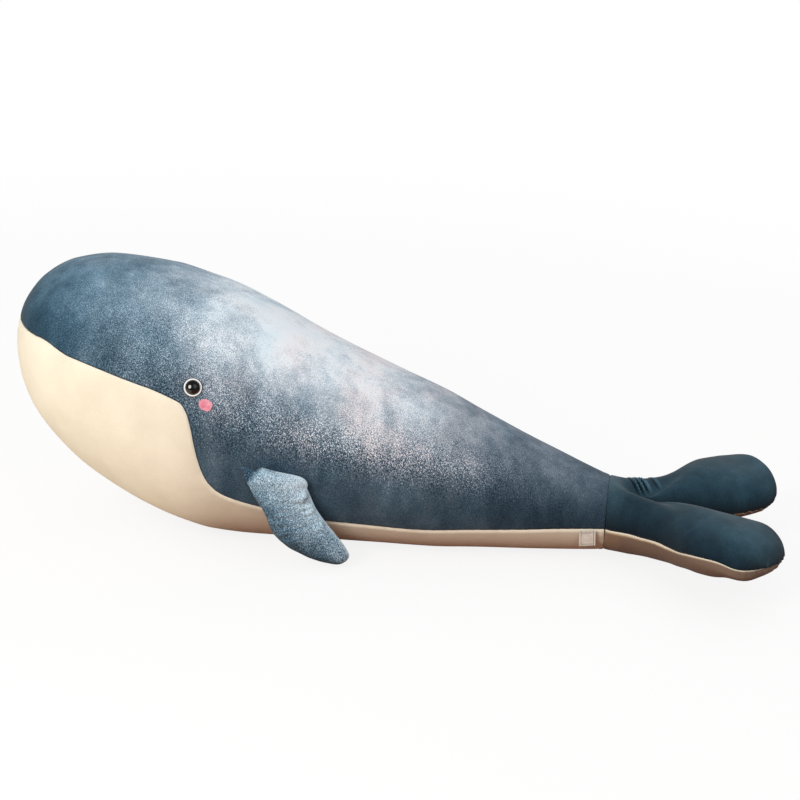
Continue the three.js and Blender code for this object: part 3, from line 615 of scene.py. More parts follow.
# The blue starts at one row, where the crown reaches the level of the seam
blue_start = share_line[np.argmax(seam_turn(share_line) > 0)]
first_blue = int(np.argmin(np.abs(row_share[:, 0] - blue_start)))
row_share[first_blue] = blue_start
seam_angle = seam_turn(row_share)
seam_angle[: first_blue + 1] = 0
back_turn = seam_angle * crowded(BACK_COLUMNS)
belly_turn = seam_angle + (2 * np.pi - 2 * seam_angle) * crowded(BELLY_COLUMNS)[1:-1]
turns = np.concatenate([back_turn, belly_turn, 2 * np.pi - back_turn[:, :0:-1]], axis=1)
centre, half_height, half_width, fullness = section(row_share)
body_x = NOSE_X + BODY_LENGTH * row_share
body_grid = ring_points(body_x, centre, half_height, half_width, fullness, turns)
print("body grid", body_grid.shape)

# %% Seams, lumps and the flat of the belly
EYE_PLACE = mm(254.5, 228)  # from the nose, and above the floor
CHEEK_PLACE = mm(272.5, 208)
CALM_FACE = mm(12, 34)  # no lumps nearer the eye and the cheek, full lumps farther away
CALM_NOSE = 60 * MM
BODY_LUMPS = mm(0.9, 75)  # height and size

body_normals = grid_normals(body_grid, -1, wrap=True)
folded_body = on_left(body_grid)
seam_distance, seam_run = nearest(folded_body, denser(body_grid[first_blue:, BACK_COLUMNS]))
tail_distance = TAIL_SEAM_X - body_grid[..., 0]
crown_distance = np.where(body_grid[..., 2] > centre, np.abs(body_grid[..., 1]), 1)
sunk = seam_valley(seam_distance)
sunk += valley(tail_distance, *RING_VALLEY)
sunk += valley(crown_distance, *BACK_VALLEY)
sunk += gathers(seam_distance, seam_run, *mm(0.35, 13, 15))
sunk += gathers(tail_distance, turns * half_width, *mm(0.5, 12, 18))
face_places = [np.array(side_place(*place)[0]) for place in (EYE_PLACE, CHEEK_PLACE)]
calm = np.min([np.linalg.norm(folded_body - place, axis=2) for place in face_places], axis=0)
calm = smooth(calm, *CALM_FACE) * smooth(body_x, NOSE_X, NOSE_X + CALM_NOSE)
sunk += BODY_LUMPS[0] * uneven(body_grid, BODY_LUMPS[1], 3) * calm
body_grid = body_grid - body_normals * sunk[..., None]
body_grid[..., 2] = np.maximum(body_grid[..., 2], 0)

# %% [markdown]
# The dye is sprayed on in soft clouds. Each cloud is a place on the body, as a share of its length
# and a height in its section from -1 at the floor to 1 at the crown, with its two sizes and how
# far it pales or darkens what is there.

# %% The dye and painted shade
BASE_PALENESS = 0.3
CLOUDS = [
    (0.53, 1.0, 0.3, 0.62, 0.62), (0.36, 0.9, 0.09, 0.4, 0.18), (0.12, 1.0, 0.14, 0.5, 0.14),
    (0.95, 0.1, 0.2, 0.5, -0.2), (0.07, 0.5, 0.08, 0.3, -0.12), (0.4, -0.15, 0.06, 0.25, 0.06),
    (0.48, -0.3, 0.07, 0.25, -0.14), (0.3, 0.45, 0.04, 0.2, -0.1), (0.55, 0.45, 0.05, 0.2, 0.12),
    (0.88, -0.3, 0.1, 0.3, -0.05), (0.63, 0.5, 0.1, 0.22, 0.17), (0.5, 0.5, 0.03, 0.2, -0.05),
    (0.76, 0.35, 0.07, 0.4, 0.1), (0.86, 0.85, 0.12, 0.5, 0.06), (0.5, 0.95, 0.13, 0.3, 0.1),
    (0.65, 0.9, 0.06, 0.3, 0.07), (0.95, 0.9, 0.07, 0.6, 0.07), (0.36, 0.35, 0.04, 0.2, 0.08),
    (0.4, 0.1, 0.05, 0.2, -0.12), (0.02, 0.6, 0.05, 0.6, -0.07),
]
BASE_GRAIN = 0.3
GRAINY = [(0.54, 0.28, 0.22, 0.24, 1.1), (0.25, 0.5, 0.14, 0.5, 0.5), (0.75, 0.45, 0.12, 0.3, 0.5)]
BASE_TEAL = 0.05
TEALS = [
    (0.0, 0.5, 0.12, 1.5, 0.8), (0.2, 0.9, 0.12, 0.5, 0.25), (0.38, 1.0, 0.13, 0.4, 0.15),
    (0.97, 0.5, 0.2, 1.5, -0.12),
]
# Painted shade in a strip above each fin's root: its ends along the root line and up from its middle
ROOT_SHADE_ENDS = (mm(57, 13), mm(-40, 5))
ROOT_SHADE_WIDTH = 7 * MM
ROOT_SHADE_DARKER, ROOT_SHADE_TEAL = 0.3, 0.35
SEAM_LIGHT_REACH = 3 * MM  # how far painted light and shade reach beside a seam
SEAM_SHADE, SEAM_SHADE_NARROWER = 0.5, 2.2  # painted shade in the colour seam's valley, narrower than that
# How far painted shade browns the belly, and between which shares of the length
BELLY_SHADE = [(0.09, 0.02, 0.16), (0.23, 0.27, 0.4)]


def sprayed(height, base, clouds):
    """A value over the body, from clouds laid over each other."""
    total = base + 0 * height
    for cloud_share, cloud_height, length, spread, change in clouds:
        far = ((row_share - cloud_share) / length) ** 2 + ((height - cloud_height) / spread) ** 2
        total = total + change * np.exp(-far)
    return total


height_share = (body_grid[..., 2] - centre) / np.maximum(half_height, WELD)
root_middle, root_line = (np.array(joints["fin_left_flap"][key]) for key in ("pos_m", "axis"))
ends = [root_middle + run * root_line + np.array([0, 0, up]) for run, up in ROOT_SHADE_ENDS]
fin_root_shade = hump(nearest(on_left(body_grid), np.linspace(*ends, 60))[0], ROOT_SHADE_WIDTH)
# Painted shade on the belly, growing towards the tail
brown = sum(amount * smooth(row_share, start, end) for amount, start, end in BELLY_SHADE)
pale = sprayed(height_share, BASE_PALENESS, CLOUDS)
# Painted shade along the colour seam's valley
pale = pale - SEAM_SHADE * hump(SEAM_SHADE_NARROWER * seam_distance, SEAM_LIGHT_REACH)
# The paleness, grain and teal carry the painted shade above the fins' roots
body_values = {
    "paleness": pale - ROOT_SHADE_DARKER * fin_root_shade,
    "grain": sprayed(height_share, BASE_GRAIN, GRAINY) - ROOT_SHADE_DARKER * fin_root_shade,
    "teal": sprayed(height_share, BASE_TEAL, TEALS) + ROOT_SHADE_TEAL * fin_root_shade,
    # Beside the seam the painted underside shade is taken away, as a painted highlight on the
    # cream's raised edge
    "brownness": brown * (1 - hump(seam_distance, SEAM_LIGHT_REACH)),
}


# %% Cut the body into its three panels
BODY_FOLD = (joints["tail_bend"]["pos_m"], *mm(36, 30))  # and the cloth that bends round it


def body_panel(name, slot, first, last, replaced):
    """One panel of the body, from some of the grid's columns."""
    start = first_blue if slot == "blue_plush" else 0
    cut = [
        np.take(whole[start:], range(first, last + 1), axis=1, mode="wrap")
        for whole in (body_grid, *body_values.values())
    ]
    values = dict(zip(body_values, cut[1:]))
    made = plush_panel(name, slot, replaced, cut[0], grid_normals(cut[0], -1), -1, values)
    bend_softly(made, "body", "tail", *BODY_FOLD)
    print(name, len(made.data.polygons))


second_seam = BACK_COLUMNS + BELLY_COLUMNS
body_panel("back_left_plush", "blue_plush", 0, BACK_COLUMNS, ["back_panel_left"])
body_panel("back_right_plush", "blue_plush", second_seam, body_grid.shape[1], ["back_panel_right"])
body_panel("belly_plush", "cream_plush", BACK_COLUMNS, second_seam, ["belly_panel", "body_stuffing"])

# %% [markdown]
# ## The tail
# The tail is two Y-shaped pieces, dark blue above and cream below, sewn round the edge. Each half
# is a tube: a half oval at the body, which turns into a fluke of its own along a path that leaves
# the middle. The fork is where the two tubes part. The fabric is cut across at the fork, because
# the stock and the two flukes bend on their own, but normals run on over the cut.

# %% The tail's sizes
fluke_fold = Vector(joints["fluke_left_bend"]["pos_m"])
STOCK_END = 32 * MM

# Distance past the tail seam, centre height, half height, half width and fullness
STOCK = [
    (0, *[float(value) for value in section(1)]),
    (STOCK_END, *mm(55.7, 47.5, 61), 2.15),
    (*mm(60, 57.5, 45.7, 78), 2.2),
    (*mm(90, 61.1, 42, 94), 2.3),
    (*mm(130, 65.5, 38, 110), 2.3),
]
# The dip between the flukes' roots: its size, where it starts, and how it widens and softens
DIP_DEPTH, DIP_WIDTH = mm(27, 19)
DIP_START = mm(1, 46)
DIP_WIDENING = 0.3
DIP_SOFTNESS = 10 * MM
DIP_BELOW = 0.35  # as a share of the depth above
FLUKE_LENGTH, FLUKE_WIDTH, FLUKE_THICKNESS = mm(201, 138, 75)
FLUKE_SPREAD, FLUKE_TILT = math.radians(32.5), math.radians(5.5)
LEVEL_FORWARD = (math.cos(FLUKE_SPREAD), -math.sin(FLUKE_SPREAD), 0)
ACROSS = (math.sin(FLUKE_SPREAD), math.cos(FLUKE_SPREAD), 0)
FORK = (STOCK_END, 88 * MM)
OUTER_FORK_DELAY = 62 * MM
STOCK_SEAM_DROP = math.radians(4)  # how far the edge seam runs below the stock's middle
STOCK_SEAM_END = mm(45, 80)  # where the edge seam comes up to the middle again
INNER_SEAM_DROP = math.radians(24)  # how far the inner edge seam runs below a fluke's middle
INNER_SEAM_START = mm(50, 110)
TIP_DROP = {-1: 14 * MM, 1: -15 * MM}
TIP_START = 142 * MM
# Distance along the fluke and the underside's thickness as a share of the upper side's
LOWER_SHARES = [(0, 1.04), (30 * MM, 1.1), (70 * MM, 1.04), (115 * MM, 0.88), (201 * MM, 0.86)]
THINNER_TIP = {-1: 0.38, 1: 0}  # how much of the lower thickness the tip's drop takes up
# Distance along the fluke in mm and the outer seam's turn up round it, in degrees
OUTER_SEAM_RISE_MM = [(0, 0), (45, -12), (80, -5), (125, 9), (165, 14), (201, 20)]
OUTER_SEAM_RISE = [(place * MM, turn) for place, turn in OUTER_SEAM_RISE_MM]
ROOT_RISE, ROOT_END = 6 * MM, mm(80, 150)
SHORTENING = {-1: 1, 1: 0.925}  # the right fluke was sewn a little shorter than the left

# Share of the fluke's length, half width and half thickness as shares of their largest
FLUKE_SHARES = [
    (-0.1, 0.45, 0.98), (0, 0.48, 0.99), (0.1, 0.56, 0.99), (0.2, 0.66, 1), (0.35, 0.76, 0.97),
    (0.5, 0.86, 0.95), (0.65, 0.96, 0.95), (0.78, 1, 0.92), (0.88, 0.94, 0.84),
    (0.95, 0.78, 0.71), (0.985, 0.52, 0.48), (1, 0, 0),
]
FLUKE_FROM_TIP = sorted((math.sqrt(1 - row[0]), *row[1:]) for row in FLUKE_SHARES)
EDGE_COLUMNS = 34
STOCK_SPACING, ROOT_SPACING, FLUKE_SPACING = mm(1.3, 1.2, 2.4)
FINE_ROOT = mm(35, 60)  # where the rows' spacing changes
MIDDLE_GAP = 0.3 * MM  # between the two tubes' walls


# %% The tail's tubes
def stock_ring(beyond, turn):
    """Half rings of the tail's stock at distances past the tail seam."""
    sizes = [between(STOCK, np.minimum(beyond, STOCK[-1][0]), column) for column in (1, 2, 3, 4)]
    ring = ring_points(TAIL_SEAM_X + beyond, *sizes, turn)
    # Between the flukes' roots the top dips, and the underside a little
    width = DIP_WIDTH + DIP_WIDENING * np.maximum(beyond - STOCK_END, 0)
    near_middle = hump(ring[..., 1], width) * smooth(beyond, *DIP_START)
    upper = smooth(ring[..., 2], sizes[0] - DIP_SOFTNESS, sizes[0] + DIP_SOFTNESS)
    ring[..., 2] -= DIP_DEPTH * near_middle * (upper - DIP_BELOW * (1 - upper))
    return ring


def split_turn(shares, seam):
    """The turn round a half ring: the edge seam's at share 1, the lowest point's from share 2."""
    low = np.minimum(shares, 2) - 1
    return np.where(shares <= 1, seam * shares, seam + (np.pi - seam) * low)


def fluke_rows():
    """Rows of a fluke, as roots of shares back from its tip, closer together at its root."""
    tip_root = math.sqrt(1 + (fluke_fold.x - TAIL_SEAM_X - STOCK_END) / FLUKE_LENGTH)
    fine = np.linspace(tip_root, 0, FINE_STEPS)
    along = (1 - fine**2) * FLUKE_LENGTH
    line = np.column_stack([along, between(FLUKE_FROM_TIP, fine, 1) * FLUKE_WIDTH / 2])
    near_root = 1 - smooth(along, *FINE_ROOT)
    spacing = FLUKE_SPACING - (FLUKE_SPACING - ROOT_SPACING) * near_root
    return graded(fine, running(line), spacing)[:, None]


def fluke_oval(side, from_tip, along, shares):
    """A fluke's own tube, and the turn round it of each point."""
    inner_drop = INNER_SEAM_DROP * smooth(along, *INNER_SEAM_START)
    changes = [0, -np.radians(between(OUTER_SEAM_RISE, along, 1)), 0, -inner_drop, 0]
    edges = [k * np.pi / 2 + change + 0 * along for k, change in enumerate(changes)]
    edges = np.concatenate(edges, axis=1)
    whole = np.floor(np.minimum(shares, 3.999)).astype(int)  # the quarter that a share is in
    low, high = edges[:, whole[0]], edges[:, whole[0] + 1]
    angle = low + (high - low) * (shares - whole)

    forward, across = Vector(LEVEL_FORWARD) * math.cos(FLUKE_TILT), Vector(ACROSS)
    forward.z = math.sin(FLUKE_TILT)
    up = forward.cross(across)
    half_width = between(FLUKE_FROM_TIP, from_tip, 1) * FLUKE_WIDTH / 2
    half_thick = between(FLUKE_FROM_TIP, from_tip, 2) * FLUKE_THICKNESS / 2
    above = half_thick + ROOT_RISE * (1 - smooth(along, *ROOT_END))
    tip = smooth(along, TIP_START, FLUKE_LENGTH)
    below = (between(LOWER_SHARES, along, 1) - THINNER_TIP[side] * tip) * half_thick
    height = np.cos(angle)
    oval = np.array(fluke_fold) + along[..., None] * np.array(forward)
    oval = oval - (half_width * np.sin(angle))[..., None] * np.array(across)
    oval = oval + (np.where(height > 0, above, below) * height)[..., None] * np.array(up)
    oval[..., 2] -= TIP_DROP[side] * tip**2
    return oval, angle


def tail_grid(side):
    """Half of the tail, the right as if it were the left: the stock's grid and the lobe's. Rows run
    to the tip, and columns from the top over the outer side and back along the inner side."""
    from_tip = fluke_rows()
    along = (1 - from_tip**2) * FLUKE_LENGTH
    along = along * (1 - (1 - SHORTENING[side]) * smooth(along, 0, FLUKE_LENGTH))
    # Shares round a tube: the top is 0, the outer seam 1, the bottom 2 and the inner seam 3
    quarter = crowded(EDGE_COLUMNS)
    outer = np.concatenate([quarter, 1 + quarter[1:]])[None]
    shares = np.concatenate([outer, 2 + quarter[None, 1:], 3 + quarter[None, 1:]], axis=1)

    rows = np.linspace(0, STOCK_END, int(STOCK_END / STOCK_SPACING) + 1)[:, None]
    height = between(COLOUR_SEAM_SHARES, np.array(1.0), 1)
    first, last = math.acos(rounded(height, 2)), np.pi / 2 + STOCK_SEAM_DROP
    stock = stock_ring(rows, split_turn(outer, first + (last - first) * smooth(rows, 0, STOCK_END)))

    beyond = along * math.cos(FLUKE_SPREAD) * math.cos(FLUKE_TILT) + fluke_fold.x - TAIL_SEAM_X
    beyond = np.maximum(beyond - beyond[0] + STOCK_END, STOCK_END)
    seam = np.pi / 2 + STOCK_SEAM_DROP * (1 - smooth(beyond, *STOCK_SEAM_END))
    half_oval = stock_ring(beyond, split_turn(shares, seam))
    # The wall between the tubes stands in the middle plane, from the oval's lowest point to its top
    top, bottom = (half_oval[:, np.argmin(np.abs(shares[0] - end)), 2][:, None] for end in (0, 2))
    level = (top + bottom) / 2 - (top - bottom) / 2 * np.cos(np.pi * (shares - 2) / 2)
    flat = np.stack([TAIL_SEAM_X + beyond + 0 * level, 0 * level, level], axis=-1)
    dee = np.where((shares > 2)[..., None], flat, half_oval)

    oval, angle = fluke_oval(side, from_tip, along, shares)
    delay = OUTER_FORK_DELAY * (1 + np.sin(angle)) / 2
    share = smooth((beyond - FORK[0]) / (FORK[1] - FORK[0] + delay), 0, 1)[..., None]
    lobe = dee * (1 - share) + oval * share
    middle = np.where(shares > 2, -MIDDLE_GAP * smooth(shares, 2, 2.2), 0)
    lobe[..., 1] = np.minimum(lobe[..., 1], middle)
    return stock, lobe, shares[0]


OUTER = slice(0, 2 * EDGE_COLUMNS + 1)
tails = {side: tail_grid(side) for side, _ in SIDES}
tail_shares = tails[-1][2]
print("tail stock", tails[-1][0].shape, "lobe", tails[-1][1].shape)

# %% [markdown]
# The far fluke's root is gathered: its fabric is longer than the seam it was sewn into, so it
# stands in a few sharp pleats across the root. Round the edge seam the pile dips, and the fabric
# puckers at the tip, where the outline turns fast.

# %% Seams and pleats of the tail
PLEATS = [(-17, 3.2), (-10, 4), (-3, 4.2), (13, 2)]  # place along the fluke and depth, in mm
PLEAT_WIDTH, PLEAT_SKEW = 1.7 * MM, 0.12
RIDGE_WIDTH, RIDGE_BEHIND, RIDGE_SHARE = *mm(1.8, 3.6), 0.5
# Where there are pleats: across the fluke, up and down, and past the tail seam
PLEATS_ACROSS = (mm(-52, -34), mm(10, 24))
PLEATS_UP = mm(-8, 8)
PLEATS_START = mm(6, 16)
TIP_PUCKERS = mm(100, 165)  # past the fluke's fold
EDGE_GATHERS, TIP_GATHERS = 0.5, 1.1  # height in mm, and how much is added at the tip
RING_GATHERS_UP = 40  # so that the tail seam's gathers follow each other up its side too
TAIL_LUMPS = mm(1.1, 38)  # height and size
TAIL_LUMPS_START = 25 * MM
LUMP_SEED = {-1: 7, 1: 11}


def pleats(grid):
    """Creases across a fluke's root, from its ridge down to the fork, each with a ridge behind."""
    from_fold = grid - np.array(fluke_fold)
    along, across = from_fold @ np.array(LEVEL_FORWARD), from_fold @ np.array(ACROSS)
    high = smooth(grid[..., 2] - fluke_fold.z, *PLEATS_UP)
    total = 0 * along
    for place, depth in PLEATS:
        skewed = along - place * MM - PLEAT_SKEW * across
        ridge = hump(skewed - RIDGE_BEHIND, RIDGE_WIDTH)
        total += depth * MM * (hump(skewed, PLEAT_WIDTH) - RIDGE_SHARE * ridge)
    start, end = (TAIL_SEAM_X + place for place in PLEATS_START)
    return total * high * window(across, *PLEATS_ACROSS) * smooth(grid[..., 0], start, end)


def sewn_tail(side):
    """One half of the tail with its seams, on its own side: the stock's grid and the lobe's."""
    stock, lobe, _ = tails[side]
    normals = [grid_normals(stock, -1), grid_normals(lobe, -1, wrap=True)]
    normals[1][0, OUTER] = normals[0][-1]
    edges = np.concatenate([lobe[:, EDGE_COLUMNS], lobe[-2::-1, 3 * EDGE_COLUMNS]])
    line = np.concatenate([denser(stock[:, EDGE_COLUMNS]), denser(edges)])
    sewn = []
    for grid, outward in zip((stock, lobe), normals):
        distance, run = nearest(grid, line)
        beyond = grid[..., 0] - TAIL_SEAM_X
        sunk = seam_valley(distance)
        tip = smooth(grid[..., 0], *(fluke_fold.x + place for place in TIP_PUCKERS))
        sunk += gathers(distance, run, (EDGE_GATHERS + TIP_GATHERS * tip) * MM, *mm(9, 15))
        sunk += valley(beyond, *RING_VALLEY)
        sunk += gathers(beyond, run + RING_GATHERS_UP * grid[..., 2], *mm(0.5, 11, 18))
        lumpy = uneven(grid, TAIL_LUMPS[1], LUMP_SEED[side])
        sunk += TAIL_LUMPS[0] * lumpy * smooth(beyond, 0, TAIL_LUMPS_START)
        sunk += pleats(mirrored(grid, -side))
        sewn.append(grid - outward * sunk[..., None])
    sewn[1][0, OUTER] = sewn[0][-1]
    sewn = [mirrored(grid, side) for grid in sewn]
    sewn[0][:, [0, -1], 1] = 0
    sewn[1][0, [0, 2 * EDGE_COLUMNS], 1] = 0
    return sewn


halves = {side: sewn_tail(side) for side, _ in SIDES}


# %% Panels of the tail
TAIL_SLOTS = {"top": "dark_blue_plush", "bottom": "cream_plush"}
FLUKE_FOLD = (fluke_fold, *mm(12, 30))
# Paleness at the edge seams, where the painted shade is darkest, how much paler the crest is than
# that, and how much paler by the body and at the tips
SEAM_PALENESS, EDGE_SHADE_DEPTH, BODY_PALER, TIP_PALER = 0.04, 0.5, 0.26, 0.14
PLEAT_SHADE, RIDGE_HIGHLIGHT = 0.22, 2.6  # painted shade for each mm of a crease's depth, and how many times that as a painted highlight on a ridge
TAIL_GRAIN = 0.22
TAIL_TEAL, BODY_LESS_TEAL = 0.4, 0.35
# Painted shade on the tail's cream underside, and how much deeper it gets away from the body
TAIL_UNDERSIDE_SHADE, DEEPER_UNDERSIDE_SHADE = 0.93, 0.3
# How far past the tail seam the body's dye reaches, the tip's begins and the painted shade deepens
BY_BODY, BY_TIP, UNDERSIDE_SHADE_DEEPENS = mm(0, 40), mm(90, 190), mm(0, 90)
QUARTER_ROUND = 85  # mm of cloth in a quarter of the way round


def tail_values(grid, shares):
    """The tail's colour: painted shade darkens it towards the edge seams, and it is paler on the
    crest, by the body and at the tips, with painted shade in the pleats' creases and painted
    highlights on their ridges. The cream below has painted shade, deeper away from the body, taken
    away beside the edge seams as a painted highlight."""
    crest = np.abs(np.cos(np.pi / 2 * shares)) + 0 * grid[..., 0]
    beyond = grid[..., 0] - TAIL_SEAM_X
    start, tip = 1 - smooth(beyond, *BY_BODY), smooth(beyond, *BY_TIP)
    from_seam = np.minimum(np.abs(shares - 1), np.abs(shares - 3)) * QUARTER_ROUND * MM
    # Painted shade in the pleats' creases and painted highlight on their ridges
    folded = pleats(mirrored(grid, 1)) / MM
    folded = np.where(folded < 0, RIDGE_HIGHLIGHT * folded, folded)
    # Painted shade darkens the top towards its edge seams
    pale = SEAM_PALENESS + (EDGE_SHADE_DEPTH + BODY_PALER * start) * crest + TIP_PALER * tip
    # Painted shade on the cream underside, deeper away from the body
    brown = TAIL_UNDERSIDE_SHADE + DEEPER_UNDERSIDE_SHADE * smooth(beyond, *UNDERSIDE_SHADE_DEEPENS)
    return {
        "paleness": pale - PLEAT_SHADE * folded,
        "grain": TAIL_GRAIN + 0 * crest,
        "teal": TAIL_TEAL - BODY_LESS_TEAL * start + 0 * crest,
        # Beside the edge seams the painted underside shade is taken away, as a painted highlight on
        # the cream's raised edge
        "brownness": brown * (1 - hump(from_seam, SEAM_LIGHT_REACH)),
    }


def tail_panel(part, layer, sense, grid, normals, shares):
    """A panel of the tail, with its dye."""
    name, slot, values = f"{part}_{layer}_plush", TAIL_SLOTS[layer], tail_values(grid, shares)
    return plush_panel(name, slot, solids(part, layer), grid, normals, sense, values)


def stock_piece(layer):
    """The stock's top or bottom: the left half and the right half as one grid."""
    top = layer == "top"
    first = 0 if top else EDGE_COLUMNS
    columns = slice(first, first + EDGE_COLUMNS + 1)

    def both(left, right):
        """Two halves as one grid: the middle line they share is kept once."""
        parts = [left[:, ::-1], right[:, 1:]] if top else [left, right[:, -2::-1]]
        return np.concatenate(parts, axis=1)

    grid = both(*(halves[side][0][:, columns] for side, _ in SIDES))
    beyond = both(*(halves[side][1][1:2, columns] for side, _ in SIDES))
    sense = 1 if top else -1
    normals = grid_normals(np.concatenate([grid, beyond]), sense)[:-1]
    shares = tail_shares[None, columns]
    made = tail_panel("tail", layer, sense, grid, normals, both(shares, shares))
    bend_softly(made, "body", "tail", *BODY_FOLD)


def lobe_piece(part, layer, side):
    """A fluke's top or bottom: from its inner edge seam over the ridge to its outer edge seam."""
    stock, lobe = halves[side]
    first = -EDGE_COLUMNS if layer == "top" else EDGE_COLUMNS
    columns = np.arange(first, first + 2 * EDGE_COLUMNS + 1) % (4 * EDGE_COLUMNS)
    before = lobe[:1] - np.array([FLUKE_SPACING, 0, 0])
    before[0, OUTER] = stock[-2]
    normals = grid_normals(np.concatenate([before, lobe])[:, columns], side)[1:]
    made = tail_panel(part, layer, side, lobe[:, columns], normals, tail_shares[columns])
    bend_softly(made, "tail", part, *FLUKE_FOLD)


for layer in TAIL_SLOTS:
    stock_piece(layer)
for side, word in SIDES:
    for layer in TAIL_SLOTS:
        lobe_piece(f"fluke_{word}", layer, side)

# %% [markdown]
# ## The side fins
# A fin is two blue panels with a thin pad between them, sewn to the side along a sloping line.
# The pad folds over at the root in a soft roll, and the fin hangs from it, wrinkled across where
# it bends. Its place and direction come from its joint.

# %% The fin's grid
FIN_LEAN = math.radians(4)
FIN_SWEEP, FIN_DROP, FIN_PAD, FIN_PLUSH = mm(130, 82, 22, 1.5)
FIN_ROLL_RADIUS = 12.3 * MM
# Row, front edge back and down, rear edge back and down, and thickness, as shares of the above
FIN_SHARES = [
    (0, -0.33, 0, 0.33, 0, 1.02),
    (1, -0.15, 0.295, 0.375, 0.1, 1),
    (2, 0.05, 0.56, 0.45, 0.22, 1),
    (3, 0.215, 0.83, 0.575, 0.385, 1),
    (4, 0.45, 0.965, 0.72, 0.53, 0.92),
    (5, 0.655, 1, 0.825, 0.635, 0.78),
    (6, 0.82, 0.985, 0.91, 0.735, 0.6),
    (7, 0.905, 0.945, 0.955, 0.815, 0.38),
    (8, 0.945, 0.88, 0.945, 0.88, 0),
]
FIN_CORNER = mm(-25, -2)
FIN_CORNER_TURN = math.radians(21)
FIN_ROWS, FIN_COLUMNS, ROLL_ROWS = 110, 44, 22
TIP_CROWDING = 1.4  # the rows lie closer together towards the tip
ROLL_FULLNESS = 6
NEARLY_TOP = 0.999  # the roll's first row stops just short of its top, and isn't a single point
# The roll's height in front, and how much it gains towards the rear, over a stretch of the root
FRONT_ROLL, ROLL_GAIN, ROLL_STRETCH = 0.55, 0.45, mm(-10, 42)
# The pad's thickness at the front corner, and how much it gains beyond it
CORNER_PAD, PAD_GAIN, PAD_STRETCH = 0.16, 0.84, 6 * MM


def hanging_frame(joint, lean):
    """The middle of a sewn line, its direction, and the ways down and to the body."""
    along = -Vector(joint["axis"])
    plumb = Vector((0, 0, -1))
    plumb = (plumb - along * plumb.dot(along)).normalized()
    down = Matrix.Rotation(-lean, 3, along) @ plumb
    return [np.array(v) for v in (Vector(joint["pos_m"]), along, down, along.cross(down))]


def fin_grid():
    """Rows from the roll's top to the fin's tip, columns round from the back edge over the side
    that faces out, and how far each point is from the front corner."""
    quarter = crowded(FIN_COLUMNS)
    turn = np.concatenate([np.pi * quarter, np.pi + np.pi * quarter[1:]])[None]
    reach, thick = (1 + np.cos(turn)) / 2, np.sin(turn)
    row = FIN_SHARES[-1][0] * (1 - (1 - np.linspace(0, 1, FIN_ROWS)) ** TIP_CROWDING)[:, None]
    sizes = (FIN_SWEEP, FIN_DROP, FIN_SWEEP, FIN_DROP, FIN_PAD / 2)
    front_x, front_y, rear_x, rear_y, pad = (
        between(FIN_SHARES, row, k) * size for k, size in enumerate(sizes, 1)
    )
    x, y = front_x + (rear_x - front_x) * reach, front_y + (rear_y - front_y) * reach
    paddle = np.stack([x, y, -pad * thick], axis=-1)
    lift = (np.pi / 2 * (1 - np.linspace(0, 1, ROLL_ROWS)[:-1]))[:, None]
    half = paddle[0, :, 0][None] * rounded(np.cos(lift * NEARLY_TOP), ROLL_FULLNESS)
    roll_height = FIN_ROLL_RADIUS * (FRONT_ROLL + ROLL_GAIN * smooth(half, *ROLL_STRETCH))
    roll_z = paddle[0, :, 2][None] * np.cos(lift)
    roll = np.stack([half, -roll_height * np.sin(lift), roll_z], axis=-1)
    whole = np.concatenate([roll, paddle])
    # The pad stops short of the front corner, which is left flat
    from_corner = (whole[..., 0] - FIN_CORNER[0]) * math.cos(FIN_CORNER_TURN)
    from_corner += (whole[..., 1] - FIN_CORNER[1]) * math.sin(FIN_CORNER_TURN)
    filled = CORNER_PAD + PAD_GAIN * smooth(from_corner, 0, PAD_STRETCH) ** 0.5
    whole[..., 2] *= filled
    whole[..., 1] *= np.where(whole[..., 1] < 0, filled, 1)
    return whole, from_corner


fin_local, from_corner = fin_grid()
print("fin grid", fin_local.shape)

# %% Wrinkles and seam of the fin
# The roll's rear end is tucked in, and curls over: along and down, two sizes and depth, in mm
TUCKS = [(40, 9, 3.6, 5, 5.5), (38, -1, 6, 4, -1.8)]
# Each set of creases: depth in mm, size in mm, seed and width
CREASES = [(1.1, 5, 21, 0.16), (1.9, 9, 4, 0.2)]
CREASE_RUN = (0.5, 0.87)  # the way they follow each other: back and down
CREASE_SQUEEZE = (0.36, 0.2)  # they are longer across that than along it
CREASED = (mm(6, 30), mm(72, 100))
CREASE_MARGIN = 9 * MM
FIN_LUMPS = mm(0.5, 14)  # height and size
FIN_PALENESS, DOWN_DARKER, BACK_PALER, EDGE_HIGHLIGHT, MOTTLE = 0.8, 0.17, 0.13, 0.3, 0.1
CORNER_SHADE, FRONT_DARKER = 0.45, 0.18
FIN_GRAIN, FIN_TEAL = 0.8, 0.45


def fin_creases(grid):
    """Short creases across the fin, where it bends below its root and towards the back edge."""
    x, y = grid[..., 0], grid[..., 1]
    back, down = CREASE_RUN
    run, cross = back * x + down * y, down * x - back * y
    wide, deep = CREASE_SQUEEZE
    squeezed = np.stack([run, wide * cross, deep * grid[..., 2]], axis=-1)
    total = sum(
        depth * hump(uneven(squeezed, size * MM, seed), width)
        for depth, size, seed, width in CREASES
    )
    return MM * total * window(run, *CREASED)


